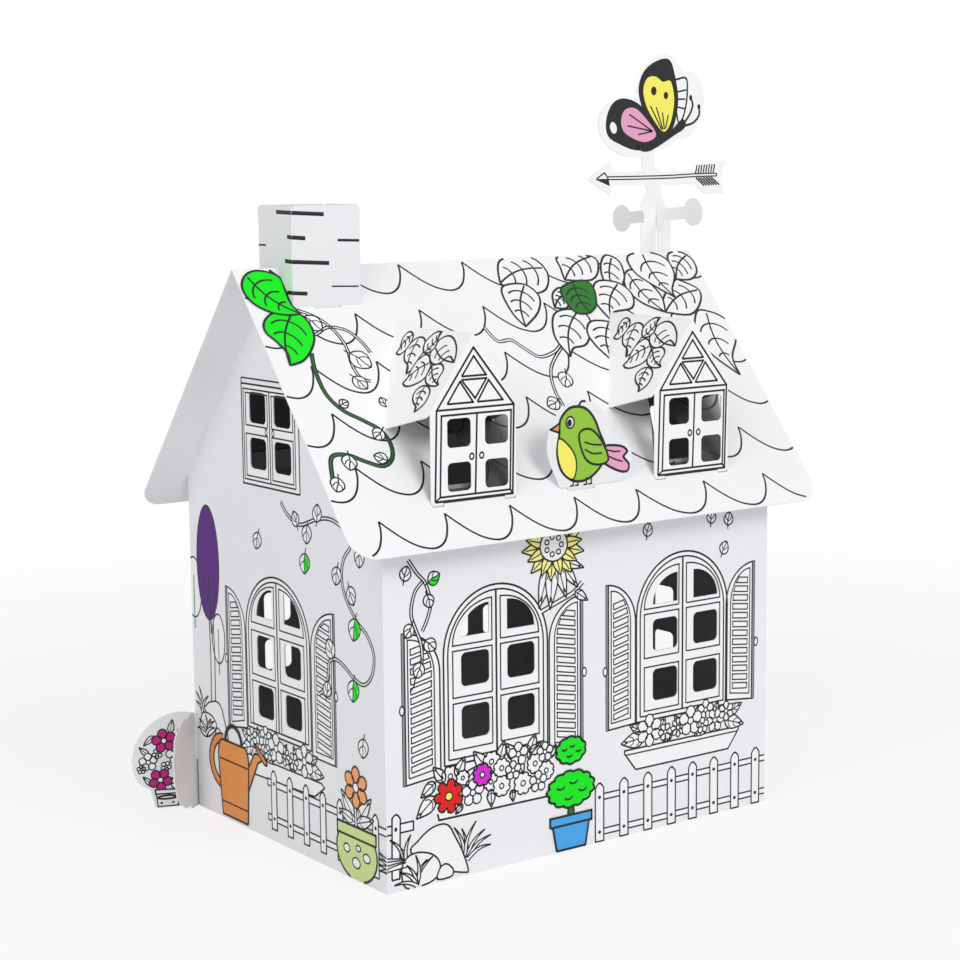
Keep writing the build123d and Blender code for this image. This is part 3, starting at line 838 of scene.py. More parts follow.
# Runs the tree over a set of lines and hands back the mesh of their strips
def drawLines(lines, inkName, row):
    curve = bpy.data.curves.new("drawing", "CURVE")
    curve.dimensions = "3D"
    for points, layer, weight, closed, _ in lines:
        spline = curve.splines.new("POLY")
        spline.points.add(len(points) - 1)
        spline.use_cyclic_u = closed
        height = layer * inkPrint["layerStep"]
        for point, (x, y) in zip(spline.points, points):
            point.co = (x, y, height, 1)
            point.radius = weight
    holder = bpy.data.objects.new("drawing", curve)
    bpy.context.scene.collection.objects.link(holder)
    modifier = holder.modifiers.new("printedLines", "NODES")
    modifier.node_group = printedLines
    values = {
        "Line Width": row.get("lineWidth", inkPrint["lineWidth"]), "Ink Height": inkPrint["inkHeight"],
        "Columns": row.get("columns", 1), "Rows": row.get("rows", 1),
        "Column Step": (*row.get("columnStep", (0, 0)), 0), "Row Step": (*row.get("rowStep", (0, 0)), 0),
        "Ink": inkLooks[inkName],
    }
    for name, value in values.items():
        modifier[treeSockets[name]] = value
    depsgraph = bpy.context.evaluated_depsgraph_get()
    mesh = bpy.data.meshes.new_from_object(holder.evaluated_get(depsgraph))
    holder.modifiers.remove(modifier)
    bpy.data.objects.remove(holder)
    bpy.data.curves.remove(curve)
    return mesh


def signedArea(points):
    return sum(a[0] * b[1] - b[0] * a[1] for a, b in zip(points, points[1:] + points[:1])) / 2


# Thin closed plate from one filled outline, open where its holes are
def fieldSolid(work, points, holes, top, bottom, slotIndex):
    loops = [points if signedArea(points) > 0 else points[::-1]]
    loops += [hole if signedArea(hole) < 0 else hole[::-1] for hole in holes]
    flat = [Vector((x, y, 0)) for loop in loops for x, y in loop]
    upper = [work.verts.new((p.x, p.y, top)) for p in flat]
    lower = [work.verts.new((p.x, p.y, bottom)) for p in flat]
    faces = []
    start = 0
    for loop in loops:
        for k in range(len(loop)):
            here, after = start + k, start + (k + 1) % len(loop)
            faces.append(work.faces.new((lower[here], lower[after], upper[after], upper[here])))
        start += len(loop)
    if holes:
        for a, b, c in tessellate_polygon([[Vector((x, y, 0)) for x, y in loop] for loop in loops]):
            if (flat[b] - flat[a]).cross(flat[c] - flat[a]).z < 0:
                b, c = c, b
            faces.append(work.faces.new((upper[a], upper[b], upper[c])))
            faces.append(work.faces.new((lower[c], lower[b], lower[a])))
    else:
        faces += [work.faces.new(upper), work.faces.new(lower[::-1])]
    for face in faces:
        face.material_index = slotIndex


# Turns the sheet's lines and fields into one printed piece and hangs it on the body
def finishSheet(sheet):
    work = bmesh.new()
    used = []

    def slotOf(material):
        if material not in used:
            used.append(material)
        return used.index(material)

    for points, inkName, layer, holes in sheet["fields"]:
        top = layer * inkPrint["layerStep"]
        material = cardLooks[inkName] if inkName in cardLooks else inkLooks[inkName]
        fieldSolid(work, points, holes, top, inkPrint["fieldFoot"], slotOf(material))
    jobs = [(sheet["lines"], {})] + [(row["lines"], row) for row in sheet["rows"] if row["lines"]]
    for lines, row in jobs:
        for inkName in sorted({entry[4] for entry in lines}):
            chosen = [entry for entry in lines if entry[4] == inkName]
            strips = drawLines(chosen, inkName, row)
            index = slotOf(inkLooks[inkName])
            count = len(work.faces)
            work.from_mesh(strips)
            work.faces.ensure_lookup_table()
            for face in work.faces[count:]:
                face.material_index = index
            bpy.data.meshes.remove(strips)
    work.transform(sheet["place"])
    if sheet["place"].determinant() < 0:
        bmesh.ops.reverse_faces(work, faces=work.faces[:])
    mesh = bpy.data.meshes.new(sheet["name"])
    work.to_mesh(mesh)
    work.free()
    for material in used:
        mesh.materials.append(material)
    piece = bpy.data.objects.new(sheet["name"], mesh)
    bpy.context.scene.collection.objects.link(piece)
    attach(piece, "root")
    print(sheet["name"], len(mesh.polygons), "faces")


# Draws one panel and turns it into its printed piece
def printSheet(name, art, origin, across, up, out, bounds=None, avoid=(), beyond=None):
    sheet = newSheet(name, origin, across, up, out, bounds, avoid, beyond)
    art(sheet)
    finishSheet(sheet)


# Panels

# How far the print stops from each kind of edge
margins = {"fold": 0.1, "floor": 0.6, "wallTop": 0.5, "gableTip": 1.0, "cut": 0.5, "roofCorner": 0.6,
           "ridge": 0.7, "wingPeak": 0.6, "wingFoot": 0.6}
wallBounds = (margins["fold"], margins["floor"], house["width"] - margins["fold"],
              house["eave"] - margins["wallTop"])
gableBounds = (margins["fold"], margins["floor"], house["depth"] - margins["fold"],
               house["ridge"] - margins["gableTip"])


# Openings of a wall; turned gives the wall's width where it is seen from its other side
def holesOf(name, turned=None):
    cut = paneCuts[name]
    holes = []
    for place in cut["places"]:
        holes += paneHoles(cut, place if turned is None else turned - place)
    return holes


frontBed = {
    "frilled": ((36.3, 50.2, 5.2), (60.4, 53.1, 5.2), (66.4, 48.9, 5.0), (59.9, 43.3, 4.4), (66.3, 40.1, 5.2),
                (79.2, 39.1, 5.6), (86.6, 47.6, 5.0), (93.4, 43.0, 4.8), (43.4, 48.2, 3.8)),
    "petalled": ((49.2, 40.0, 6.6), (76.4, 54.0, 6.0), (73.2, 46.6, 4.8), (88.4, 38.4, 5.4),
                 (92.6, 52.4, 5.0)),
    "leaves": (((33.0, 48.3), (26.4, 56.4)), ((39.6, 49.5), (44.9, 58.4)), ((44.0, 44.8), (52.0, 52.6)),
               ((57.0, 51.0), (49.8, 60.0)), ((65.0, 52.8), (68.2, 62.2)), ((75.0, 52.0), (69.2, 60.6)),
               ((83.4, 53.4), (87.0, 62.6)), ((27.6, 49.0), (19.3, 42.8)), ((27.6, 42.0), (16.6, 33.2)),
               ((60.0, 39.5), (60.1, 30.8)), ((76.4, 51.4), (79.4, 43.2)), ((72.6, 37.0), (73.2, 31.0)),
               ((82.0, 51.0), (90.4, 57.6)), ((95.0, 49.0), (99.6, 55.0)), ((43.0, 35.6), (39.0, 31.2))),
}
leafRatio = 0.58    # width of a broad leaf against its length


def broadLeaf(sheet, base, tip, layer, ratio=leafRatio, **options):
    leafTo(sheet, base, tip, ratio * math.dist(base, tip), layer, **options)


# Leaves at the back, then each flower over the one before it
def flowerBed(sheet, bed, layer):
    for index, (base, tip) in enumerate(bed["leaves"]):
        broadLeaf(sheet, base, tip, layer + 0.2 * (index % 5), veins=2, weight=1.0)
    for x, y, r in bed["frilled"]:
        layer += 0.9
        frilledFlower(sheet, x, y, r, layer)
    for x, y, r in bed["petalled"]:
        layer += 1.2
        petalFlower(sheet, x, y, r, layer)


# Long trough under a window, wider at its rim
def windowBox(sheet, left, right, top, foot, inset, layer):
    outline = [(left + inset, foot), (right - inset, foot), (right, top - 1.6), (right, top),
               (left, top), (left, top - 1.6)]
    shape(sheet, outline, "white", layer, 1.0)
    line(sheet, [(left + 0.6, top - 2.4), (right - 0.6, top - 2.4)], layer + 1, 0.85)


troughWidth = 78.0
troughBlooms = {
    "flowers": ((16.3, 7.9, 8.4, 6, 90), (27.0, 5.4, 4.6, 6, 60), (35.7, 6.3, 5.0, 8, 0),
                (44.3, 8.4, 7.8, 5, 90),
                (54.8, 12.4, 5.4, 5, 90), (61.3, 6.0, 6.2, 6, 60), (69.2, 9.6, 5.2, 6, 90),
                (52.6, 4.6, 4.2, 5, 20)),
    "leaves": (((13.0, 5.0), (-2.6, 3.8)), ((12.0, 8.0), (3.0, 12.6)), ((22.0, 5.0), (27.0, 13.4)),
               ((31.4, 3.4), (25.4, 0.4)), ((39.0, 5.0), (33.2, 12.8)), ((56.0, 4.0), (46.6, -0.2)),
               ((61.0, 9.0), (63.4, 16.0)), ((70.0, 8.0), (80.4, 12.2)), ((68.0, 5.0), (81.8, 0.8)),
               ((48.0, 9.0), (49.6, 15.6))),
}


# Flowers and leaves that fill a trough
def boxFlowers(sheet, left, right, top, layer):
    stretch = (right - left) / troughWidth
    for index, (base, tip) in enumerate(troughBlooms["leaves"]):
        broadLeaf(sheet, (left + base[0] * stretch, top + base[1]), (left + tip[0] * stretch, top + tip[1]),
                  layer + 0.2 * (index % 4), 0.55, veins=3, weight=0.95)
    for index, (x, up, radius, petals, turn) in enumerate(troughBlooms["flowers"]):
        petalFlower(sheet, left + x * stretch, top + up, radius, layer + 2 + 1.2 * (index % 4), petals,
                    turn=turn)


def rock(sheet, points, layer):
    shape(sheet, smooth(points, closed=True, steps=4), "white", layer, 1.0)


# Clipped evergreen in a blue pot
def topiary(sheet, x, layer):
    pot = [(x - 9.0, 0.8), (x + 9.0, 0.8), (x + 11.4, 13.5), (x - 11.4, 13.5)]
    shape(sheet, pot, "blue", layer, 1.3)
    shape(sheet, [(x - 13.0, 13.2), (x + 13.0, 13.2), (x + 13.0, 17.8), (x - 13.0, 17.8)], "blue",
          layer + 1, 1.3)
    shape(sheet, [(x - 1.8, 17.8), (x + 1.8, 17.8), (x + 1.6, 24), (x - 1.6, 24)], "vineGreen", layer, 1.1)
    for up, radius, bumps, tall in ((31.0, 15.2, 13, 1.0), (50.5, 9.6, 10, 1.18)):
        points = []
        for k in range(bumps * 4):
            a = math.tau * k / (bumps * 4)
            r = radius * (0.90 + 0.10 * abs(math.sin(bumps * a / 2)))
            points.append((x + r * math.cos(a), up + 0.62 * r * math.sin(a) * tall))
        shape(sheet, points, "brightGreen", layer + 2, 1.35)
        for side, rise in ((-0.42, 0.16), (0.1, 0.28), (0.48, -0.02), (-0.1, -0.22)):
            middle = (x + radius * side, up + radius * rise)
            line(sheet, arc(middle, (radius * 0.17, radius * 0.12), 200, 345, 6), layer + 4, 1.1)


# Yellow ruffled bloom under the eave, with white petals that trail over a twig
def hangingBloom(sheet, x, y, layer):
    vine(sheet, [(x - 8.0, y - 31.6), (x + 4.0, y - 27.4), (x + 12.0, y - 24.6), (x + 17.6, y - 20.0)], 1.9,
         layer)
    broadLeaf(sheet, (x + 13.0, y - 24.0), (x + 21.0, y - 29.5), layer + 1, 0.5, veins=2)
    for index, tip in enumerate(((18.6, -13.0), (14.8, -22.4), (-9.2, -29.8), (7.6, -26.6), (-2.4, -31.2))):
        broadLeaf(sheet, (x + 0.25 * tip[0], y - 8.0), (x + tip[0], y + tip[1]), layer + 2 + index, 0.34,
                  veins=2)
    for k in (*range(1, 18, 2), *range(0, 18, 2)):
        a = math.radians(20 * k + 4)
        reach = 19.4 if k % 2 else 17.4
        tip = (x + reach * math.cos(a), y + (reach - 2.0) * math.sin(a))
        base = (x + 5.0 * math.cos(a), y + 5.0 * math.sin(a))
        leafTo(sheet, base, tip, 6.6 if k % 2 else 5.8, layer + 8 - k % 2, ink="paleYellow", veins=0)
    shape(sheet, ring((x, y), (8.4, 7.8), 20), "white", layer + 11, 1.0)
    for k in range(7):
        a = math.tau * k / 7
        shape(sheet, ring((x + 4.6 * math.cos(a), y + 4.3 * math.sin(a)), (1.3, 1.2), 8), "white",
              layer + 12, 0.7)


cornerGrass = ((6.8, 19.0), (6.9, 16.2), (6.6, 12.8), (6.1, 10.2))   # tips round the fold


def frontArt(sheet):
    holes = holesOf("front")
    archedWindow(sheet, 63.8, 30.7, (62.2, 87.4), 112.4, 108.0, 138.9, 55.5, holes[:6])
    archedWindow(sheet, 181.4, 30.6, (62.2, 89.3), 114.3, 110.0, 141.0, 57.2, holes[6:])
    shutter(sheet, 9.7, 30.9, 50.0, 51.9, 122.0, 20.5, 2.2)
    shutter(sheet, 116.4, 95.6, 51.5, 52.6, 127.0, 20.5, 2.2)
    shutter(sheet, 131.3, 150.2, 56.2, 57.2, 129.5, 20.5, 2.0)
    shutter(sheet, 231.0, 211.2, 57.3, 59.4, 130.2, 20.5, 1.3)
    for x, y in ((9.4, 86.0), (130.6, 86.3), (232.4, 87.4), (117.4, 88.4)):
        knob(sheet, x, y)

    # Flowers and rocks at the left
    shape(sheet, [(28.6, 34.2), (29.5, 30.2), (96.6, 29.8), (98.4, 34.2)], "white", 3, 1.15)
    field(sheet, smooth([(30, 33), (27, 44), (33, 53), (48, 54), (66, 55), (84, 54), (94, 48), (96, 33)],
                        closed=True), "white", 3.4)
    flowerBed(sheet, frontBed, 4)
    frilledFlower(sheet, 35.2, 40.8, 8.4, 22, "red", "yellow", 7, 1.0, 0.36)
    frilledFlower(sheet, 54.8, 47.8, 5.6, 24, "magenta", "white", 8, 1.0)
    tuft(sheet, (45.0, 8.0), ((38.0, 25.1), (42.5, 23.7), (51.1, 25.8), (56.2, 20.8), (59.7, 17.4),
                              (59.6, 12.6)), 4)
    rock(sheet, [(13.4, 17.7), (17.3, 22.5), (24.1, 26.9), (30.8, 28.1), (35.2, 26.3), (38.5, 20.7),
                 (42.9, 12.2),
                 (46.0, 2.9), (44.5, 1.8), (37.7, 3.5), (27, 6)], 10)
    tuft(sheet, (10.3, 13.7), ((1.5, 26.1), (7.4, 21.0), (13.3, 26.5)), 12)
    for index, (x, y) in enumerate(cornerGrass):
        grassBlade(sheet, (10.6, 14.2 - 0.6 * index), (-x, y), 2.3, 0.5 - 0.4 * index, 12.4 + 0.8 * index)
    rock(sheet, [(7.8, 9.9), (10.6, 15.4), (16.2, 17.1), (23.9, 15.3), (28.8, 11.2), (29.7, 6.3), (27.0, 2.6),
                 (20.9, 0.8), (10.4, 1.2)], 15)
    rock(sheet, [(29.9, 7.2), (33.6, 8.2), (37.2, 4.7), (36.0, 1.6), (28.1, 1.9)], 16)
    tuft(sheet, (16.4, 0.4), ((25.7, 13.6), (22.2, 12.8), (15.8, 16.1), (10.6, 12.2), (7.0, 9.4),
                              (3.6, 3.8)), 18)

    # Fence, flower trough and the potted tree at the right
    rectangle(sheet, (7.0, 28.4), (14.9, 32.7), 2, weight=0.95)
    for level in (28.4, 32.6):
        line(sheet, [(margins["fold"], level), (3.0, level)], 2, 0.95)
    shape(sheet, [(2.5, 6.4), (6.8, 6.5), (7.6, 35.1), (6.3, 37.0), (5.2, 37.6), (4.1, 37.1), (3.0, 36.0)],
          "white", 3)
    field(sheet, ring((5.0, 30.5), (0.9, 1.1), 10), "ink", 4)
    fence(sheet, 188.7, 4, 1, ((22.4, 25.4), (4.5, 7.5)), 2, 3.8, {**fenceDrawing, "pitch": 14.7})
    fence(sheet, 126.9, 4, 1, ((21.6, 24.6), (3.7, 6.7)), 2, 9.0)
    windowBox(sheet, 143.2, 220.4, 44.0, 33.2, 7.2, 4)
    boxFlowers(sheet, 143.4, 220.4, 44.0, 6)
    topiary(sheet, 108.6, 27)
    hangingBloom(sheet, 98.6, 153.4, 12)

    # Vine at the corner
    vine(sheet, [(14, 156.1), (18.7, 149.5), (22.9, 145), (25.2, 139.6), (26.3, 134.3), (24.4, 127.5),
                 (21.3, 121.8)], 1.3, 6)
    vine(sheet, [(22.3, 145.5), (18, 141.5), (15.8, 135.7), (15.4, 129.7), (17.7, 123.3), (20.3, 116.8),
                 (21.1, 110.6), (20.7, 106.5)], 1.3, 6)
    for x, y, size, turn, half in ((11.4, 146.6, 7.0, 70, None), (25.0, 144.4, 7.2, 25, "brightGreen"),
                                   (24.2, 138.8, 6.6, 285, None), (15.6, 125.8, 6.8, 235, None),
                                   (22.8, 117.0, 7.4, 320, None), (20.4, 107.2, 7.4, 245, None)):
        bud(sheet, x, y, size, turn, 8, half=half)
    line(sheet, smooth([(17.0, 100.4), (16.4, 97.2), (14.1, 94.2)]), 9, 0.8)
    for x, y, turn in ((208.0, 136.6, 60), (157.4, 151.2, 75), (200.2, 153.2, 80), (212.0, 151.0, 80)):
        bud(sheet, x, y, 6.8, turn, 8)


# Orange watering can with its spout towards the window
def wateringCan(sheet, y, layer):
    handle = arc((y + 19, 30), (12.0, 12.5), -80, 95, 12)
    line(sheet, handle, layer, 6.0)
    line(sheet, handle, layer + 6, 3.9, ink="orange")
    spout = [(y - 2, 12), (y - 17, 37), (y - 21, 39), (y - 19.5, 42), (y - 13.5, 41), (y - 1, 24)]
    shape(sheet, spout, "orange", layer + 8, 1.2)
    shape(sheet, smooth([(y - 23.5, 37.5), (y - 16.0, 43.5), (y - 14.6, 46.4), (y - 25.4, 39.6)],
                        closed=True, steps=3),
          "orange", layer + 9, 1.2)
    body = [(y - 5.5, 2.0), (y + 20.0, 2.0)] + arc((y + 19.0, 33), (4.5, 9.0), -10, 80, 5)
    body += arc((y - 3.5, 33), (4.0, 9.0), 100, 190, 5)
    shape(sheet, body, "orange", layer + 10, 1.3)
    for left, right, level in ((-6.6, 22.4, 31.5), (-6.2, 21.0, 9.0)):
        line(sheet, [(y + left, level), (y + right, level)], layer + 11, 1.0)
    line(sheet, arc((y + 7.6, 41), (8.5, 10.0), 5, 175, 12), layer + 11, 2.6)


# Round pale green pot with spots, one orange bloom growing from it
def spottedPot(sheet, y, layer):
    for base, tip in (((y, 28), (y - 13, 43)), ((y, 28), (y + 13, 42)), ((y, 28), (y - 15, 33)),
                      ((y, 28), (y + 15, 32))):
        broadLeaf(sheet, base, tip, layer, 0.4, veins=2)
        layer += 1
    vine(sheet, [(y, 24), (y + 0.6, 34), (y, 42)], 1.8, layer + 1)
    petalFlower(sheet, y, 45.5, 10.2, layer + 3, 6, "paleOrange", "white", turn=90, weight=1.05)
    body = arc((y, 14), (17.4, 14.2), 150, 390, 26)
    shape(sheet, body, "paleGreen", layer + 5, 1.3)
    rectangle(sheet, (y - 16.6, 20.6), (y + 16.6, 26.2), layer + 6, "paleGreen", 1.3)
    for side, up, wide, tall in ((-8.5, 13, 3.0, 2.2), (0.5, 8.6, 3.4, 2.6), (8.6, 14.2, 2.6, 2.1),
                                 (-1.5, 16.2, 2.0, 1.5)):
        shape(sheet, ring((y + side, up), (wide, tall), 12), "white", layer + 7, 0.9)


# Arched window, its shutters and the attic window, the same on both gables
def sideWindows(sheet):
    archedWindow(sheet, 94.7, 30.2, (57.1, 82.9), 109.4, 105.5, 135.2, 54.4, holesOf("gable"), 22.4, 20.6)
    shutter(sheet, 145.0, 126.0, 50.1, 53.2, 123.6, 20.5, 1.6)
    shutter(sheet, 41.9, 63.4, 51.7, 52.0, 125.6, 20.5, 2.2)
    for y in (41.4, 145.6):
        knob(sheet, y, 86)
    outer = [(70.0, 179.2), (123.5, 179.2), (123.5, 229.0), (70.0, 229.0)]
    field(sheet, outer, "white", 1, holesOf("attic"))
    line(sheet, outer, 2, 1.05, closed=True)
    lintel = 231.8
    line(sheet, [(70.0, lintel), (123.5, lintel)], 2, 0.9)
    for y, level in outer[:1:-1]:
        line(sheet, [(y, level), (y, lintel)], 2, 0.9)
    line(sheet, [(73.6, 181.5), (121.8, 181.5), (121.8, 226.5), (73.6, 226.5)], 2, 0.9, closed=True)
    line(sheet, [(97.0, 181.5), (97.0, 226.5)], 2, 1.0)
    for left, right in ((75.4, 95.0), (99.0, 119.8)):
        for low, high in ((183.4, 204.4), (208.6, 224.6)):
            line(sheet, [(left, low), (right, low), (right, high), (left, high)], 2, 0.85, closed=True)
    for y in (94.0, 100.4):
        knob(sheet, y, 206.4, (1.0, 1.5), 3)


def gableArt(sheet):
    sideWindows(sheet)

    # Trough and its flowers under the window
    shape(sheet, [(62.4, 32.3), (129.8, 30.3), (132.5, 37.0), (130.6, 39.8), (56, 40.3), (53.4, 38.6)],
          "white", 4, 1.0)
    boxFlowers(sheet, 56.0, 130.0, 40.0, 6)

    fenceForm = {"pitch": 15.3, "width": 4.9, "foot": 6.0, "shoulder": 33.6, "tip": 36.2, "headTail": 3.4}
    fence(sheet, 101.0, 7, -1, ((28.0, 31.4), (10.2, 13.2)), 15, railTail=10.0, drawing=fenceForm)

    # Long vine from the attic window down to the shutter
    vine(sheet, [(88.1, 174), (82.6, 168.7), (71.5, 164.7), (56.6, 169), (45.7, 170.9), (36.9, 169.6),
                 (29.1, 165.9),
                 (26.4, 160.5), (32.2, 153.9), (34.5, 145.4), (31.9, 136.2), (22.7, 126.1), (13.5, 120.3),
                 (8.2, 111.8), (10.3, 102), (17, 96.5), (25.5, 98), (33.1, 102), (40.8, 104.3), (46.7, 102.1),
                 (47.9, 95.9), (50.2, 89), (56.4, 84.5)], 1.4, 8)
    for y, z, size, turn, half in ((75.1, 167.0, 7.5, 60, None), (55.2, 172.3, 8.6, 95, None),
                                   (64.5, 160.9, 9.2, 275, None), (111.5, 151.5, 8.8, 285, None),
                                   (67.0, 146.4, 10.0, 275, "brightGreen"), (18.8, 155.9, 9.0, 270, None),
                                   (38.7, 144.6, 9.0, 280, None), (26.4, 137.1, 9.0, 242, None),
                                   (24.2, 121.3, 11.0, 280, "brightGreen"),
                                   (26.0, 91.8, 10.6, 276, "brightGreen"),
                                   (46.0, 108.4, 9.6, 60, None), (49.2, 88.4, 8.0, 100, None),
                                   (18.4, 65.8, 9.4, 275, None)):
        budAround(sheet, y, z, size, turn, 10, half=half)

    # Tree at the far end, with its purple crown
    for middle, radii in (((178.0, 118.0), (8.0, 16.0)), ((153.5, 94.5), (6.5, 13.0))):
        shape(sheet, ring(middle, radii, 24), "white", 2, 1.0)
        line(sheet, [(middle[0], middle[1] - radii[1] - 6), (middle[0], middle[1] + radii[1] * 0.4)], 3, 0.85)
    for y in (158.6, 162.8):
        line(sheet, smooth([(y, 103), (y - 0.6, 84), (y, 60)]), 3, 1.0)
    shape(sheet, ring((162.6, 133.0), (11.4, 30.0), 30), "violet", 4, 1.0)
    for twig, weight in ((((160.6, 96), (161.6, 110), (162.6, 126)), 1.3),
                         (((161.4, 112), (166.0, 118), (168.6, 124)), 0.9),
                         (((161.2, 106), (157.4, 112), (155.6, 118)), 0.9)):
        line(sheet, smooth(twig), 5, weight)

    tuft(sheet, (172.8, 50.6), ((179.3, 56.8), (179.2, 61.9), (175.7, 65.4), (165.8, 62.1)), 5)
    rock(sheet, [(169.9, 53.9), (168.7, 56.1), (165.8, 58.4), (160.7, 60.1), (157.3, 60.6), (154.1, 59.6),
                 (152.0, 57.5), (150.6, 54.5), (148.6, 49.9), (146.7, 45.3), (146.6, 42.6), (152.8, 42.8)], 9)
    rock(sheet, [(172.3, 51.7), (167.8, 52.6), (163.3, 52.1), (160.1, 50.6), (158.0, 47.9), (159.9, 44.7),
                 (165.1, 40.8), (170.2, 39.4), (174.6, 41.1), (175.9, 43.6), (174.8, 47.8)], 11)
    rock(sheet, [(158.1, 46.1), (155.9, 46.4), (153.3, 44.5), (153.4, 41.9), (156.8, 41.2), (159.5, 42.0)],
         12)
    tuft(sheet, (168.6, 40.6), ((178.5, 42.6), (176.5, 47.6), (169.5, 51.4), (163.4, 50.2), (160.1, 49.6),
                                (160.0, 46.0)), 12.4)
    wateringCan(sheet, 133.0, 16)
    spottedPot(sheet, 25.5, 16)
    for index, tip in enumerate(cornerGrass):
        grassBlade(sheet, (-10.6, 14.2 - 0.6 * index), tip, 2.3, 0.4 * index - 0.5, 34 + 0.8 * index)


def backArt(sheet):
    wide = house["width"]
    holes = holesOf("front", wide)
    for place, own in ((wide - 183.4, holes[6:]), (wide - 65.0, holes[:6])):
        archedWindow(sheet, place, 30.6, (62.2, 88.4), 113.4, 109.0, 140.0, 56.4, own)
        for side in (-1, 1):
            shutter(sheet, place + side * 52.0, place + side * 31.6, 53.0, 54.0, 126.0, 20.5, 1.6)
            knob(sheet, place + side * 53.0, 87.0)
    for place in (wide - 183.4, wide - 65.0):
        windowBox(sheet, place - 39, place + 39, 44.0, 33.4, 7.6, 4)
        boxFlowers(sheet, place - 38, place + 38, 44.0, 6)
    fence(sheet, 15.5, 14, 1, ((23.5, 26.6), (8.0, 11.4)), 2, railTail=3.0)


def rightArt(sheet):
    sideWindows(sheet)
    windowBox(sheet, 57, 131, 40.5, 31.0, 7.0, 4)
    boxFlowers(sheet, 57.0, 131.0, 40.5, 6)
    fence(sheet, 13.0, 11, 1, ((23.5, 26.6), (8.0, 11.4)), 2, railTail=3.0)


panelArt = {
    "front_print": (frontArt, (0, 0, 0), (1, 0, 0), (0, -1, 0), wallBounds, holesOf("front")),
    "gable_print": (gableArt, (0, 0, 0), (0, 1, 0), (-1, 0, 0), gableBounds,
                    holesOf("gable") + holesOf("attic")),
    "back_print": (backArt, (house["width"], house["depth"], 0), (-1, 0, 0), (0, 1, 0), wallBounds,
                   holesOf("front", house["width"])),
    "right_print": (rightArt, (house["width"], 0, 0), (0, 1, 0), (1, 0, 0), gableBounds,
                    holesOf("gable") + holesOf("attic")),
}
for name, (art, origin, across, out, bounds, holes) in panelArt.items():
    printSheet(name, art, origin, across, (0, 0, 1), out, bounds, holes)
print("walls printed")


# Roof

# Distance up the roof sheet for a distance y from the wall below it
def slopeOf(y):
    return y / pitchCos


roofBounds = (margins["cut"] - house["leftOverhang"], slopeOf(-house["eaveOverhang"]) + margins["cut"],
              house["width"] + house["rightOverhang"] - margins["cut"], slopeOf(ridgeLine) - margins["ridge"])
tiles = {
    "cusps": (-38.5, -2.4, 34.0, 71.5, 110.5, 149.5, 194.0, 235.0, 274.0),
    "rows": (-1.0, 17.5, 36.5, 53.7, 71.7, 89.5),
    "sag": ((0, 0), (0.126, -3.5), (0.263, -6.8), (0.42, -9.5), (0.61, -10.9), (0.76, -10.2), (0.88, -7.7),
            (0.97, -3.5), (1, 0)),
}
roofLight = ((-11.7, 7.1), (11.7, 7.1), (11.7, 17.5), (0.0, 38.5), (-11.7, 17.5))
roofLights = [[(place + x, slopeOf(y)) for x, y in roofLight] for place in dormer["places"]]
roofRound = house["roofCorner"] + margins["roofCorner"]


# True outside the roof sheet's round corners
def pastCorner(point):
    left, low, right, _ = roofBounds
    x = min(point[0] - left, right - point[0])
    y = point[1] - low
    return x < roofRound and y < roofRound and math.hypot(roofRound - x, roofRound - y) > roofRound


roofLeaves = {
    "a": ((128, 80.4), (132, 87.5), (138.6, 90.2), (155.7, 90.0), (161.2, 84), (156.2, 77.7), (148, 75.6),
          (136, 76.0)),
    "b": ((130.8, 62.8), (126.9, 67.8), (126, 75.9), (130.1, 79.4), (143, 79.4), (148.4, 74.3),
          (142.8, 68.1)),
    "c": ((170.2, 80.4), (171.3, 85.5), (173.5, 90.1), (195.7, 89.6), (196.4, 84.8), (187.8, 79.9)),
    "e": ((149.4, 50), (145.8, 57.3), (149.2, 64.3), (155.9, 68.1), (169.1, 68), (173.4, 63.3), (164.1, 54.7),
          (154.2, 53.3)),
    "d": ((154.8, 69.5), (157.6, 74.9), (164.8, 77.4), (168.4, 74.0), (162.7, 69.2)),
    "f": ((174.5, 47.5), (169.1, 53.5), (167.7, 59), (174.2, 63.3), (188, 61.8), (192, 56), (184, 50)),
    "k": ((245.6, 78.4), (256.0, 78.1), (263.2, 81.4), (264.4, 86.4), (258.6, 89.9), (249.3, 89.2),
          (246.0, 84.0)),
    "m": ((255, 37.6), (243.1, 46.5), (239.6, 55.1), (245.3, 62.4), (251.7, 65), (264.5, 61.2), (266, 53),
          (256.2, 45)),
    "l": ((226.2, 65), (229.4, 70.5), (243.7, 77.7), (248.4, 77.5), (257.6, 73.4), (253.4, 67.8),
          (242.3, 63.4)),
    "j": ((226.2, 65), (214.1, 69.2), (208.2, 75), (210.6, 80.6), (218.3, 83.2), (226.0, 77.0),
          (229.0, 71.0)),
    "g": ((198.1, 72.1), (195.6, 78.2), (197.9, 84.8), (205.2, 89.8), (212.3, 87.2), (211.4, 81.5),
          (207.6, 77.9)),
    "h": ((186.9, 63.2), (182.9, 70.3), (185.2, 75.8), (191.9, 79.3), (204.5, 78), (209.7, 73.1),
          (205.1, 67.6),
          (191.7, 66.3)),
    "i": ((238.3, 70.7), (225.8, 77.3), (219.1, 82.3), (220, 88.9), (234.8, 90.3), (245.6, 87.3),
          (246.1, 80.5),
          (238.8, 74)),
}
darkLeaf = ((175.6, 66.6), (169.0, 66.4), (164.8, 68.8), (163.7, 76), (172, 79), (183, 79.6), (185.9, 75.8),
            (182.0, 69.4))
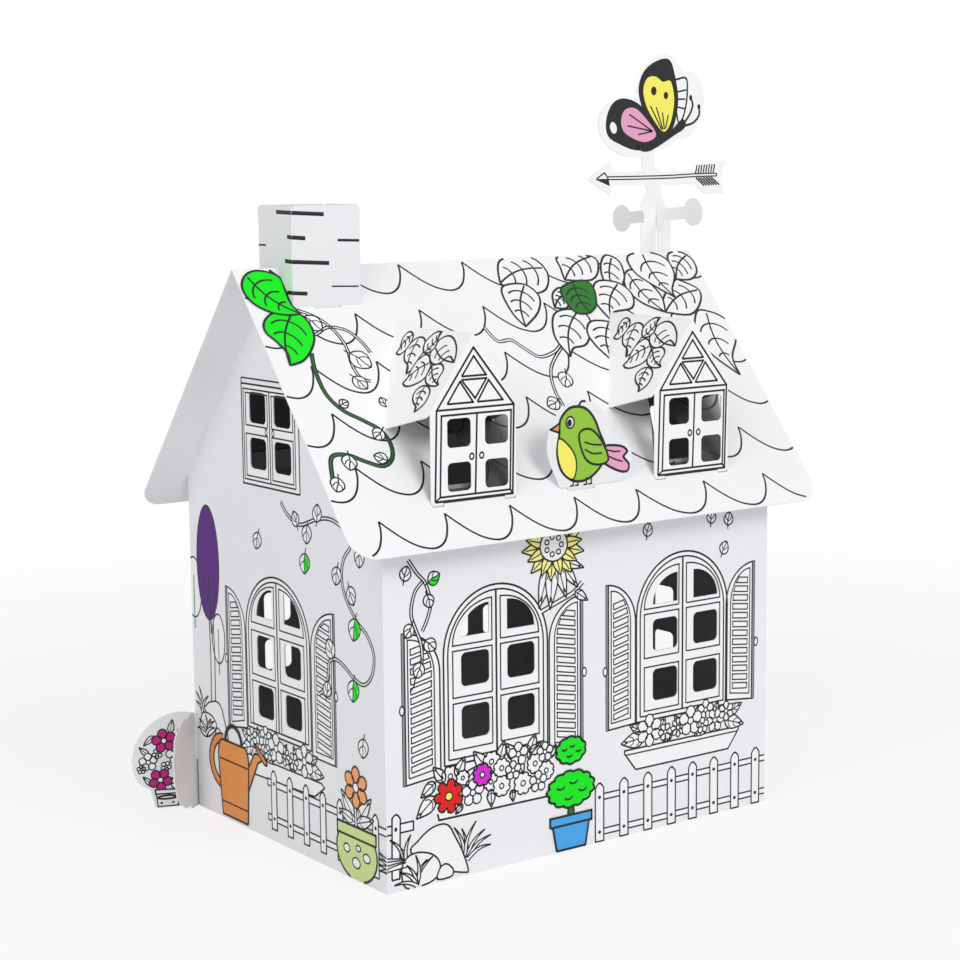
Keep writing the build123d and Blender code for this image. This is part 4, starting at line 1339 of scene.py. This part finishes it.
brightLeaves = (
    ((3.8, 72.5), (-2.8, 72.3), (-10.9, 73.5), (-18.4, 76.9), (-21.4, 81.2), (-20.3, 85.1), (-15.5, 88.3),
     (-8.8, 89.2),
     (-1.4, 87.7), (1.4, 85.5), (1.0, 81.6), (0.9, 76.6)),
    ((-13.5, 54.4), (-12.1, 58.6), (-15.3, 63.1), (-18.8, 66.5), (-17.9, 69.9), (-12.2, 73.0), (-4.1, 73.6),
     (3.1, 72.6), (6.3, 68.6), (5.7, 63.7), (0.9, 59.1), (-5.8, 55.6)),
)


def upSlope(points):
    return [(x, slopeOf(y)) for x, y in points]


def tileRows(sheet):
    cusps = tiles["cusps"]
    for row in tiles["rows"]:
        for left, right in zip(cusps, cusps[1:]):
            sag = [(left + (right - left) * t, row + drop) for t, drop in tiles["sag"]]
            line(sheet, smooth(upSlope(sag), steps=3), 1, 1.15)


def roofArt(sheet):
    tileRows(sheet)
    for vineLine, width, ink in (
            (((0.8, 58.4), (-1.3, 51.8), (-1, 43.7), (3.9, 37.6), (12.3, 33.4), (19.7, 29.3), (21.8, 24.1),
              (19, 19.2), (12.5, 17.1), (4.8, 19.1), (-2.3, 21.7), (-9.5, 22.5), (-13.4, 20.7),
              (-16.4, 14.6)),
             1.7, "vineGreen"),
            (((3.1, 74.2), (12.3, 70.8), (18.2, 66), (21, 59.8), (19.9, 53), (21.4, 48.4), (26, 46.7)), 1.3,
             "white"),
            (((3.5, 66.6), (7.3, 64.9), (15.6, 67.2), (25, 65.7), (30.3, 61.6), (33, 56.9)), 1.3, "white"),
            (((105.3, 63.4), (109.5, 58), (117.9, 58), (124.5, 53.8), (130.7, 50.9), (140.3, 52.2),
              (146.5, 54.6)),
             1.5, "white"),
            (((147.9, 54.5), (136.2, 48), (131.5, 43), (129.6, 37), (130.4, 31.8)), 1.3, "white")):
        vine(sheet, upSlope(vineLine), width, 3, ink)
    for x, y, size, turn in ((8.5, 68.9, 10.5, 305), (25.4, 54.4, 12.0, 312), (19.9, 46.4, 8.5, 300),
                             (6.4, 39.6, 5.5, 20), (28.2, 39.0, 5.5, 100), (17.5, 28.1, 7.5, 215),
                             (13.4, 20.0, 7.0, 150), (-4.4, 19.5, 8.5, 250), (-15.4, 12.6, 8.0, 240),
                             (139.2, 41.6, 9.5, 240), (124.8, 33.2, 8.5, 200)):
        budAround(sheet, x, slopeOf(y), size, turn, 6)
    for index, points in enumerate(roofLeaves.values()):
        drawnLeaf(sheet, upSlope(points), 8 + 2 * index, "roof_card", 1.3)
    drawnLeaf(sheet, upSlope(darkLeaf), 40, "leafGreen", 1.3)
    for index, points in enumerate(brightLeaves):
        drawnLeaf(sheet, upSlope(points), 44 - 3 * index, "brightGreen", 1.3)


for name, art, foot, way, holes in (("roof_print", roofArt, 0, 1, roofLights),
                                    ("roof_print_back", tileRows, house["depth"], -1, ())):
    printSheet(name, art, (0, foot, house["eave"] + roofRise), (1, 0, 0),
               (0, way * pitchCos, pitchSin), (0, -way * pitchSin, pitchCos), roofBounds, holes, pastCorner)
print("roof printed")


# Dormers

wingLength = math.hypot(dormer["half"], dormerRise)
wingSin, wingCos = dormerRise / wingLength, dormer["half"] / wingLength


# Double frame with mitred corners, a pair of doors with panes and four triangles in the gable
def dormerFrontArt(sheet):
    outer = [(-22.3, 0.5), (22.4, 0.5), (23.4, 42.8), (0.2, 70.8), (-21.0, 42.8)]
    inner = [(-19.5, 2.5), (20.9, 2.5), (21.8, 40.2), (-18.3, 40.2)]
    line(sheet, outer, 1, 1.2, closed=True)
    line(sheet, [outer[4], outer[2]], 1, 1.1)
    line(sheet, inner, 1, 1.1, closed=True)
    for start, end in zip(outer[:2], inner[:2]):
        line(sheet, [start, end], 1, 1.0)
    line(sheet, [(1.9, 40.2), (0.6, 2.5)], 1, 1.15)
    for x in (-1.3, 4.4):
        line(sheet, ring((x, 20.2), (1.2, 1.4), 10), 2, 0.9, closed=True)
    for triangle in (((-6.6, 57.7), (7.4, 57.7), (0.3, 66.8)), ((-14.9, 45.4), (-0.2, 45.4), (-7.6, 55.4)),
                     ((-6.8, 56.1), (7.6, 56.1), (1.0, 47.2)), ((2.2, 45.4), (17.0, 45.4), (8.8, 55.2))):
        line(sheet, list(triangle), 1, 1.1, closed=True)


wingLeaves = (
    ((34.0, 25.2), (34.5, 22.6), (36.9, 20.1), (41.2, 18.0), (43.8, 14.6), (44.4, 11.4), (43.2, 8.4),
     (41.5, 6.2),
     (38.2, 4.9), (33.7, 6.1), (31.0, 10.3), (29.8, 13.0), (30.6, 16.0), (31.2, 20.3), (31.8, 22.9)),
    ((50.8, 14.8), (50.0, 11.9), (51.8, 7.2), (51.1, 3.9), (48.7, 2.6), (45.5, 3.8), (43.8, 6.2), (43.7, 9.5),
     (44.6, 12.5), (46.6, 15.0), (48.7, 15.4)),
    ((4.8, 28.6), (6.9, 26.8), (7.3, 24.4), (6.9, 22.2), (7.4, 20.2), (9.6, 18.3), (12.1, 17.8), (15.6, 18.5),
     (17.3, 19.4), (17.6, 22.2), (17.5, 25.0), (16.1, 27.4), (13.6, 28.9), (10.4, 29.6), (6.9, 29.4)),
    ((2.2, 16.2), (3.6, 12.5), (6.0, 8.8), (9.9, 5.3), (14.0, 3.2), (17.8, 2.9), (21.2, 4.4), (22.8, 6.7),
     (22.4, 9.5), (23.9, 11.8), (23.1, 14.2), (20.6, 16.8), (17.2, 18.3), (13.8, 18.0), (11.3, 16.3),
     (9.7, 14.3),
     (7.1, 13.5)),
    ((32.8, 29.9), (31.1, 27.8), (31.4, 24.6), (31.6, 21.8), (30.9, 18.1), (29.0, 15.5), (26.5, 13.8),
     (23.3, 14.6),
     (20.6, 17.2), (18.4, 19.1), (17.8, 22.6), (17.7, 25.4), (19.6, 27.9), (22.8, 29.8), (26.4, 31.2),
     (30.1, 31.3)),
    ((23.5, 0.8), (26.7, 1.2), (29.3, 2.6), (31.5, 5.3), (32.2, 8.2), (31.0, 11.0), (28.9, 12.9),
     (26.3, 12.9),
     (23.6, 11.4), (22.7, 9.5), (23.0, 7.1), (24.2, 4.0), (24.6, 2.0)),
    ((11.9, 43.9), (12.5, 41.3), (16.2, 39.3), (18.6, 37.1), (19.6, 34.4), (18.6, 31.8), (16.2, 30.2),
     (12.3, 30.0),
     (9.3, 31.6), (7.9, 33.8), (7.5, 36.2), (8.0, 39.4), (9.6, 41.7)),
)


# Leaves that hang over the dormer's roof; each outline starts at its tip
def wingArt(sheet):
    vine(sheet, [(13.4, 27.0), (12.8, 31.4)], 1.2, 1)
    for index, points in enumerate(wingLeaves):
        drawnLeaf(sheet, list(points), 2 + 1.2 * index, "dormer_card", 1.15, veins=3, veinReach=0.6)


# True where a wing's outer face has already dipped under the roof
def aboveRoof(point):
    y, down = point
    level = standHeight + dormer["peak"] - wingSin * down
    return y + dormer["front"] > (level - house["eave"] - roofRise) / roofPitch - margins["wingFoot"]


wingBounds = (margins["cut"], margins["wingPeak"], dormer["wingReach"],
              wingLength + dormer["wingDrop"] - margins["cut"])
dormerHoles = paneHoles(paneCuts["dormer"], paneCuts["dormer"]["places"][0])
for name, place in zip(("left", "right"), dormer["places"]):
    printSheet("dormer_print_" + name, dormerFrontArt, (place, dormer["front"], standHeight),
               (1, 0, 0), (0, 0, 1), (0, -1, 0), avoid=dormerHoles)
    for side, word in ((-1, "left"), (1, "right")):
        printSheet("wing_print_" + name + "_" + word, wingArt,
                   (place, dormer["front"], standHeight + dormer["peak"]), (0, 1, 0),
                   (side * wingCos, 0, -wingSin), (side * wingSin, 0, wingCos), wingBounds, beyond=aboveRoof)
print("dormers printed")


# Chimney

chimney = {"left": 1.6, "width": 38.4, "depth": 31.0}
chimney["front"] = ridgeLine - chimney["depth"] / 2
chimney["back"] = ridgeLine + chimney["depth"] / 2


# Short strokes of mortar, each with its own weight
chimneyDashes = {
    "front": (((1.7, 312.8), (19.6, 311.8), 2.1), ((1.7, 301.3), (9.1, 300.7), 2.1),
              ((1.7, 289.8), (22.1, 288.6), 2.1),
              ((1.7, 275.1), (9.6, 274.5), 2.0), ((27.1, 299.4), (39.4, 298.9), 1.4),
              ((23.3, 277.5), (38.6, 276.9), 0.8)),
    "left": (((88.9, 313.1), (75.1, 312.8), 2.1), ((79.3, 301.5), (75.1, 301.3), 2.1),
             ((81.7, 290.1), (75.1, 289.8), 2.1),
             ((80.2, 275.3), (75.1, 275.1), 2.0), ((99.0, 297.2), (105.7, 297.2), 1.0)),
    "back": (((201.0, 312.4), (218.0, 312.0), 2.1), ((228.0, 300.6), (237.0, 300.4), 1.7),
             ((214.0, 289.0), (233.0, 288.6), 2.1)),
    "right": (((78.0, 312.4), (90.0, 312.2), 2.1), ((92.0, 300.6), (104.6, 300.4), 1.7),
              ((76.4, 289.0), (86.0, 288.8), 2.1)),
}
chimneySheets = (
    ("front", (0, chimney["front"], 0), (1, 0, 0), (0, -1, 0)),
    ("left", (chimney["left"], 0, 0), (0, 1, 0), (-1, 0, 0)),
    ("back", (house["width"], chimney["back"], 0), (-1, 0, 0), (0, 1, 0)),
    ("right", (chimney["left"] + chimney["width"], 0, 0), (0, 1, 0), (1, 0, 0)),
)
for name, origin, across, out in chimneySheets:
    def mortarArt(sheet):
        for start, end, weight in chimneyDashes[name]:
            line(sheet, [start, end], 1, weight)

    printSheet("chimney_print_" + name, mortarArt, origin, across, (0, 0, 1), out)


# Bird card

# Small green songbird that looks to the left, with a yellow breast and a pink tail
def songbirdArt(sheet):
    tail = [(12, 12), (22, 6), (29, 4.5), (30.5, 8), (27, 12), (29.5, 14.5), (25, 17.5), (14, 18)]
    shape(sheet, smooth(tail, closed=True, steps=3), "pink", 1, 1.4)
    line(sheet, [(14, 14.5), (22, 11), (26.5, 9.6)], 3, 0.9)
    line(sheet, [(15, 16.5), (21, 15), (25, 14.8)], 3, 0.9)
    body = [(-13, 26), (-12.4, 33), (-6.5, 38.4), (2, 38), (8, 33), (12, 25), (15.5, 17), (13, 9), (5, 3.2),
            (-4, 2.8), (-11.5, 8), (-14.4, 17)]
    shape(sheet, smooth(body, closed=True, steps=4), "birdGreen", 3, 1.5)
    breast = [(-13.4, 24), (-8, 21), (-3.4, 15), (-2.6, 8.5), (-5, 3.6), (-11, 7.6), (-14.2, 16)]
    shape(sheet, smooth(breast, closed=True, steps=4), "yellow", 5, 1.0)
    wing = [(-1.0, 25), (5.4, 27.4), (12.4, 22), (17.4, 11.4), (9.6, 9.6), (2.6, 13.6)]
    shape(sheet, smooth(wing, closed=True, steps=4), "birdGreen", 7, 1.3)
    line(sheet, smooth([(2.6, 17.6), (7.6, 15.2), (13.4, 15.0)]), 9, 1.0)
    line(sheet, smooth([(2.4, 21.2), (7.6, 19.6), (13.4, 19.0)]), 9, 1.0)
    shape(sheet, [(-12.6, 31.6), (-18.4, 28.8), (-13.2, 27.0)], "orange", 7, 1.1)
    shape(sheet, ring((-6.4, 31.4), (2.5, 2.8), 14), "white", 7, 1.0)
    shape(sheet, ring((-6.8, 31.2), (1.2, 1.5), 12), "ink", 9, 0.7)
    for x, top, ankle, toe in ((-4.5, 3.0, -0.2, -2.0), (-1.5, 3.0, -0.2, -2.0), (3.5, 4.0, 0.2, -1.8),
                               (6.5, 4.0, 0.2, -1.8)):
        line(sheet, [(x, top), (x + ankle, 0.6), (x + toe, 0.5)], 9, 0.9)
    line(sheet, smooth([(-1.6, 38.4), (0.6, 41.0), (3.2, 41.0)]), 5, 1.3)


birdPlace = 117.0
printSheet("bird_print", songbirdArt, (birdPlace, standLine - house["card"] / 2, standHeight),
           (1, 0, 0), (0, 0, 1), (0, -1, 0))


# Weathervane

# Butterfly in side view: black edges, a yellow fore wing and a pink hind wing
def butterflyArt(sheet):
    farWing = [(257.0, 357.4), (259.8, 357.8), (262.6, 364.7), (263.7, 372.8), (263.0, 379.9), (257.6, 379.7),
               (254.0, 376.5)]
    shape(sheet, smooth(farWing, closed=True, steps=4), "vane_card", 1, 1.2)
    for start, end in (((255, 372.5), (263.0, 373.9)), ((255, 368.7), (262.4, 369.0)),
                       ((256, 364.7), (261.8, 363.8))):
        line(sheet, [start, end], 3, 1.0)
    hind = [(243.6, 349.4), (237.6, 343.1), (226.6, 342.0), (216.0, 345.1), (208.0, 349.3), (206.8, 357.1),
            (210.4, 365.0), (217.0, 368.3), (226.0, 366.9), (234.0, 361.6)]
    shape(sheet, smooth(hind, closed=True, steps=4), "ink", 4, 1.0)
    hindInner = [(241.4, 350.2), (235.0, 346.0), (226.4, 347.3), (218.4, 351.6), (216.8, 357.8),
                 (219.6, 362.9),
                 (226.0, 363.8), (232.6, 359.6)]
    field(sheet, smooth(hindInner, closed=True, steps=4), "pink", 6)
    field(sheet, ring((211.4, 353.3), (2.3, 3.2), 12, 20), "white", 6)
    for end in ((222.4, 360.5), (221.0, 354.5), (228.6, 349.8)):
        line(sheet, [(238.8, 351.6), end], 8, 0.9)
    fore = [(245.2, 349.1), (238.8, 354.7), (232.2, 363.2), (229.2, 373.4), (232.6, 382.6), (241.0, 388.3),
            (250.4, 389.5), (254.4, 381.0), (256.8, 368.7), (254.6, 356.9), (250.6, 350.7)]
    shape(sheet, smooth(fore, closed=True, steps=4), "ink", 9, 0.8)
    foreInner = [(245.6, 351.8), (240.4, 356.7), (234.4, 365.0), (232.2, 373.4), (235.0, 379.7),
                 (241.0, 380.6),
                 (246.0, 377.9), (251.6, 378.3), (254.2, 368.7), (252.2, 357.8), (248.8, 352.3)]
    field(sheet, smooth(foreInner, closed=True, steps=4), "yellow", 11)
    for start, end in (((245.4, 352.5), (237.2, 365.0)), ((246.2, 352.5), (241.4, 364.3)),
                       ((247.2, 352.7), (245.8, 361.6)),
                       ((248.0, 353.1), (250.0, 360.5))):
        line(sheet, [start, end], 13, 0.95)
    field(sheet, ring((239.6, 373.0), (2.0, 2.4), 12), "ink", 13)
    field(sheet, ring((248.2, 370.7), (1.6, 2.0), 12), "ink", 13)
    body = [(229.0, 343.8), (236.4, 345.1), (244.0, 348.9), (252.8, 352.3), (257.0, 355.6), (260.4, 357.8),
            (262.4, 355.2), (260.0, 352.7), (255.4, 350.5), (246.0, 345.6), (237.0, 341.6), (231.0, 341.5)]
    shape(sheet, smooth(body, closed=True, steps=4), "ink", 14, 1.0)
    for path in (((261.4, 356.2), (265.4, 360.7), (267.6, 365.6), (266.2, 369.8)),
                 ((262.0, 354.7), (268.2, 356.4), (272.2, 360.4), (272.2, 364.9))):
        line(sheet, smooth(path), 14, 1.3)
        field(sheet, ring(path[-1], (1.1, 1.5), 8), "ink", 14)


feathers = {
    "step": (1.87, 0.06),
    "rows": ((8, ((270.0, 328.9), (271.1, 333.4))), (7, ((270.2, 326.6), (276.4, 322.2)))),
}


# Arrow pointing left, with a small dark head and feathers
def arrowArt(sheet):
    head = [(199.6, 326.5), (205.2, 329.7), (207.5, 327.2), (208.4, 323.3)]
    shape(sheet, head, "vane_card", 2, 0.9)
    field(sheet, [head[0], (207.4, 326.6), head[3]], "ink", 2.3)
    for offset in (0.75, -0.75):
        line(sheet, smooth([(207.6, 326.9 + offset), (223.0, 326.9 + offset), (250.0, 327.2 + offset),
                            (269.4, 327.9 + offset), (285.6, 328.1 + offset)]), 1, 0.75)
    line(sheet, [(285.6, 328.9), (285.6, 327.3)], 1, 0.9)
    for count, stroke in feathers["rows"]:
        sheet["rows"].append({"lines": [(list(stroke), 1, 1.0, False, "ink")], "columns": count,
                              "columnStep": feathers["step"]})


def vaneArt(sheet):
    butterflyArt(sheet)
    arrowArt(sheet)


printSheet("vane_print", vaneArt, (0, ridgeLine - house["card"] / 2, 0), (1, 0, 0), (0, 0, 1),
           (0, -1, 0))


# Crossed ears at the back left corner

earCorner = (house["card"] / 2, house["depth"] - house["card"] / 2)
bouquetTurn = math.radians(20.0)    # behind the line of the back wall
away = (-math.cos(bouquetTurn), math.sin(bouquetTurn), 0)
facing = (-math.sin(bouquetTurn), -math.cos(bouquetTurn), 0)


# Flower pot with magenta and white flowers
def bouquetArt(sheet):
    for base, tip, width in (((22.5, 39.2), (28.2, 34.2), 3.2), ((14.0, 40.0), (12.6, 47.4), 3.4),
                             ((25.6, 29.0), (30.6, 33.6), 3.0), ((23.8, 12.4), (29.0, 17.6), 3.0),
                             ((15.4, 12.7), (11.2, 16.4), 3.0), ((9.6, 39.0), (5.4, 44.6), 3.4),
                             ((8.0, 18.0), (3.4, 21.6), 3.0), ((6.4, 30.0), (2.8, 34.6), 3.0)):
        leafTo(sheet, base, tip, width, 1, veins=0, weight=0.75)
    for x, y, radius in ((25.9, 25.2, 5.0), (21.1, 29.3, 2.7), (16.7, 22.2, 2.8), (29.6, 21.6, 2.4),
                         (11.0, 28.6, 5.6), (8.2, 36.4, 4.0), (9.4, 20.6, 3.4), (11.6, 13.4, 3.4)):
        petalFlower(sheet, x, y, radius, 4, 5, turn=x * 20, weight=0.75)
    for x, y, radius, turn in ((17.4, 36.2, 6.4, 80), (19.8, 15.2, 6.2, 50)):
        petalFlower(sheet, x, y, radius, 8, 5, "rose", "white", turn)
    shape(sheet, [(11.2, 8.0), (10.6, 0.8), (21.4, 0.8), (22.2, 8.0)], "white", 12, 0.7)
    shape(sheet, [(22.8, 10.0), (22.4, 7.6), (11.0, 7.4), (10.8, 9.6)], "white", 13, 0.9)
    line(sheet, ring((16.4, 5.6), (5.0, 0.9), 20), 14, 1.2, closed=True)
    for x in (13.4, 19.6):
        field(sheet, ring((x, 2.6), (0.7, 0.7), 8), "ink", 14)


earOrigin = tuple(earCorner[k] + facing[k] * house["card"] / 2 for k in range(2)) + (0.0,)
printSheet("bouquet_print", bouquetArt, earOrigin, away, (0, 0, 1), facing)
print("small cards printed")


# Camera, floor and light

photoCamera = {
    "place": (-522.05, -787.58, 332.31), "yaw": -36.24, "pitch": -8.34, "roll": -0.55,
    "lens": 79.519, "sensor": 36.0, "clip": (0.01, 20.0),
}
cameraData = bpy.data.cameras.new("camera")
cameraData.sensor_width = photoCamera["sensor"]
cameraData.lens = photoCamera["lens"]
cameraData.clip_start, cameraData.clip_end = photoCamera["clip"]
camera = bpy.data.objects.new("camera", cameraData)
bpy.context.scene.collection.objects.link(camera)
camera.location = corner + Vector(photoCamera["place"]) * mm
yaw, pitch, roll = (math.radians(photoCamera[angle]) for angle in ("yaw", "pitch", "roll"))
turn = (Matrix.Rotation(yaw, 4, "Z") @ Matrix.Rotation(math.pi / 2 + pitch, 4, "X")
        @ Matrix.Rotation(roll, 4, "Z"))
camera.rotation_euler = turn.to_euler()
bpy.context.scene.camera = camera


# 1 for what the camera sees, also by way of a mirror or glass, and 0 for light on the house
def seenShare(nodes, link):
    rays = nodes.new("ShaderNodeLightPath")
    share = rays.outputs["Is Camera Ray"]
    for other in ("Is Glossy Ray", "Is Transmission Ray"):
        larger = nodes.new("ShaderNodeMath")
        larger.operation = "MAXIMUM"
        link(share, larger.inputs[0])
        link(rays.outputs[other], larger.inputs[1])
        share = larger.outputs[0]
    return share


# The floor grows from nearWhite to full white, as the camera sees it, between the distances near and far
floorLook = {"tint": (0.92, 0.92, 0.923), "rough": 0.7, "gloss": 0.1, "nearWhite": 0.74, "near": 0.28,
             "far": 1.1, "reach": 3.0}
floorMaterial = bpy.data.materials.new("floor")
floorMaterial.use_nodes = True
floorNodes, floorLink = floorMaterial.node_tree.nodes, floorMaterial.node_tree.links.new
floorShader = floorNodes["Principled BSDF"]
floorShader.inputs["Base Color"].default_value = (*floorLook["tint"], 1)
floorShader.inputs["Roughness"].default_value = floorLook["rough"]
floorShader.inputs["Specular IOR Level"].default_value = floorLook["gloss"]
floorPlace = floorNodes.new("ShaderNodeNewGeometry")
floorAway = floorNodes.new("ShaderNodeVectorMath")
floorAway.operation = "LENGTH"
floorLink(floorPlace.outputs["Position"], floorAway.inputs[0])
floorFade = floorNodes.new("ShaderNodeMapRange")
floorFade.interpolation_type = "SMOOTHSTEP"
for name, value in (("From Min", floorLook["near"]), ("From Max", floorLook["far"]),
                    ("To Min", floorLook["nearWhite"]), ("To Max", 1.0)):
    floorFade.inputs[name].default_value = value
floorLink(floorAway.outputs["Value"], floorFade.inputs["Value"])
floorWhite = floorNodes.new("ShaderNodeEmission")
floorShare = floorNodes.new("ShaderNodeMath")
floorShare.operation = "MULTIPLY"
floorLink(seenShare(floorNodes, floorLink), floorShare.inputs[0])
floorLink(floorFade.outputs["Result"], floorShare.inputs[1])
floorMix = floorNodes.new("ShaderNodeMixShader")
floorLink(floorShare.outputs[0], floorMix.inputs[0])
floorLink(floorShader.outputs[0], floorMix.inputs[1])
floorLink(floorWhite.outputs[0], floorMix.inputs[2])
floorLink(floorMix.outputs[0], floorNodes["Material Output"].inputs["Surface"])
floorMesh = bpy.data.meshes.new("floor")
floorCorners = [(x * floorLook["reach"], y * floorLook["reach"], 0)
                for x, y in ((-1, -1), (1, -1), (1, 1), (-1, 1))]
floorMesh.from_pydata(floorCorners, [], [(0, 1, 2, 3)])
floorMesh.materials.append(floorMaterial)
floor = bpy.data.objects.new("floor", floorMesh)
bpy.context.scene.collection.objects.link(floor)


lamps = {
    "key": {"place": (0.3, -3.4, 2.7), "size": 2.0, "power": 60},
    "fill": {"place": (-3.0, -1.2, 2.4), "size": 2.6, "power": 40},
    "top": {"place": (0.2, 0.8, 4.2), "size": 4.0, "power": 12},
}
lampTarget = Vector((0.0, 0.0, 0.18))    # the middle of the house
for name, form in lamps.items():
    lampData = bpy.data.lights.new(name, "AREA")
    lampData.shape = "DISK"
    lampData.size = form["size"]
    lampData.energy = form["power"]
    lamp = bpy.data.objects.new(name, lampData)
    bpy.context.scene.collection.objects.link(lamp)
    lamp.location = form["place"]
    lamp.rotation_euler = (lampTarget - Vector(form["place"])).to_track_quat("-Z", "Y").to_euler()

worldLight = {"tint": (0.97, 0.98, 1.0), "strength": 0.49}
world = bpy.data.worlds.new("world")
bpy.context.scene.world = world
world.use_nodes = True
worldNodes, worldLink = world.node_tree.nodes, world.node_tree.links.new
background = worldNodes["Background"]
seen = worldNodes.new("ShaderNodeBackground")
seen.inputs["Color"].default_value = (1, 1, 1, 1)
background.inputs["Color"].default_value = (*worldLight["tint"], 1)
background.inputs["Strength"].default_value = worldLight["strength"]
choice = worldNodes.new("ShaderNodeMixShader")
worldLink(seenShare(worldNodes, worldLink), choice.inputs[0])
worldLink(background.outputs[0], choice.inputs[1])
worldLink(seen.outputs[0], choice.inputs[2])
worldLink(choice.outputs[0], worldNodes["World Output"].inputs["Surface"])
bpy.context.scene.view_settings.view_transform = "Standard"
print("camera, floor and light ready")
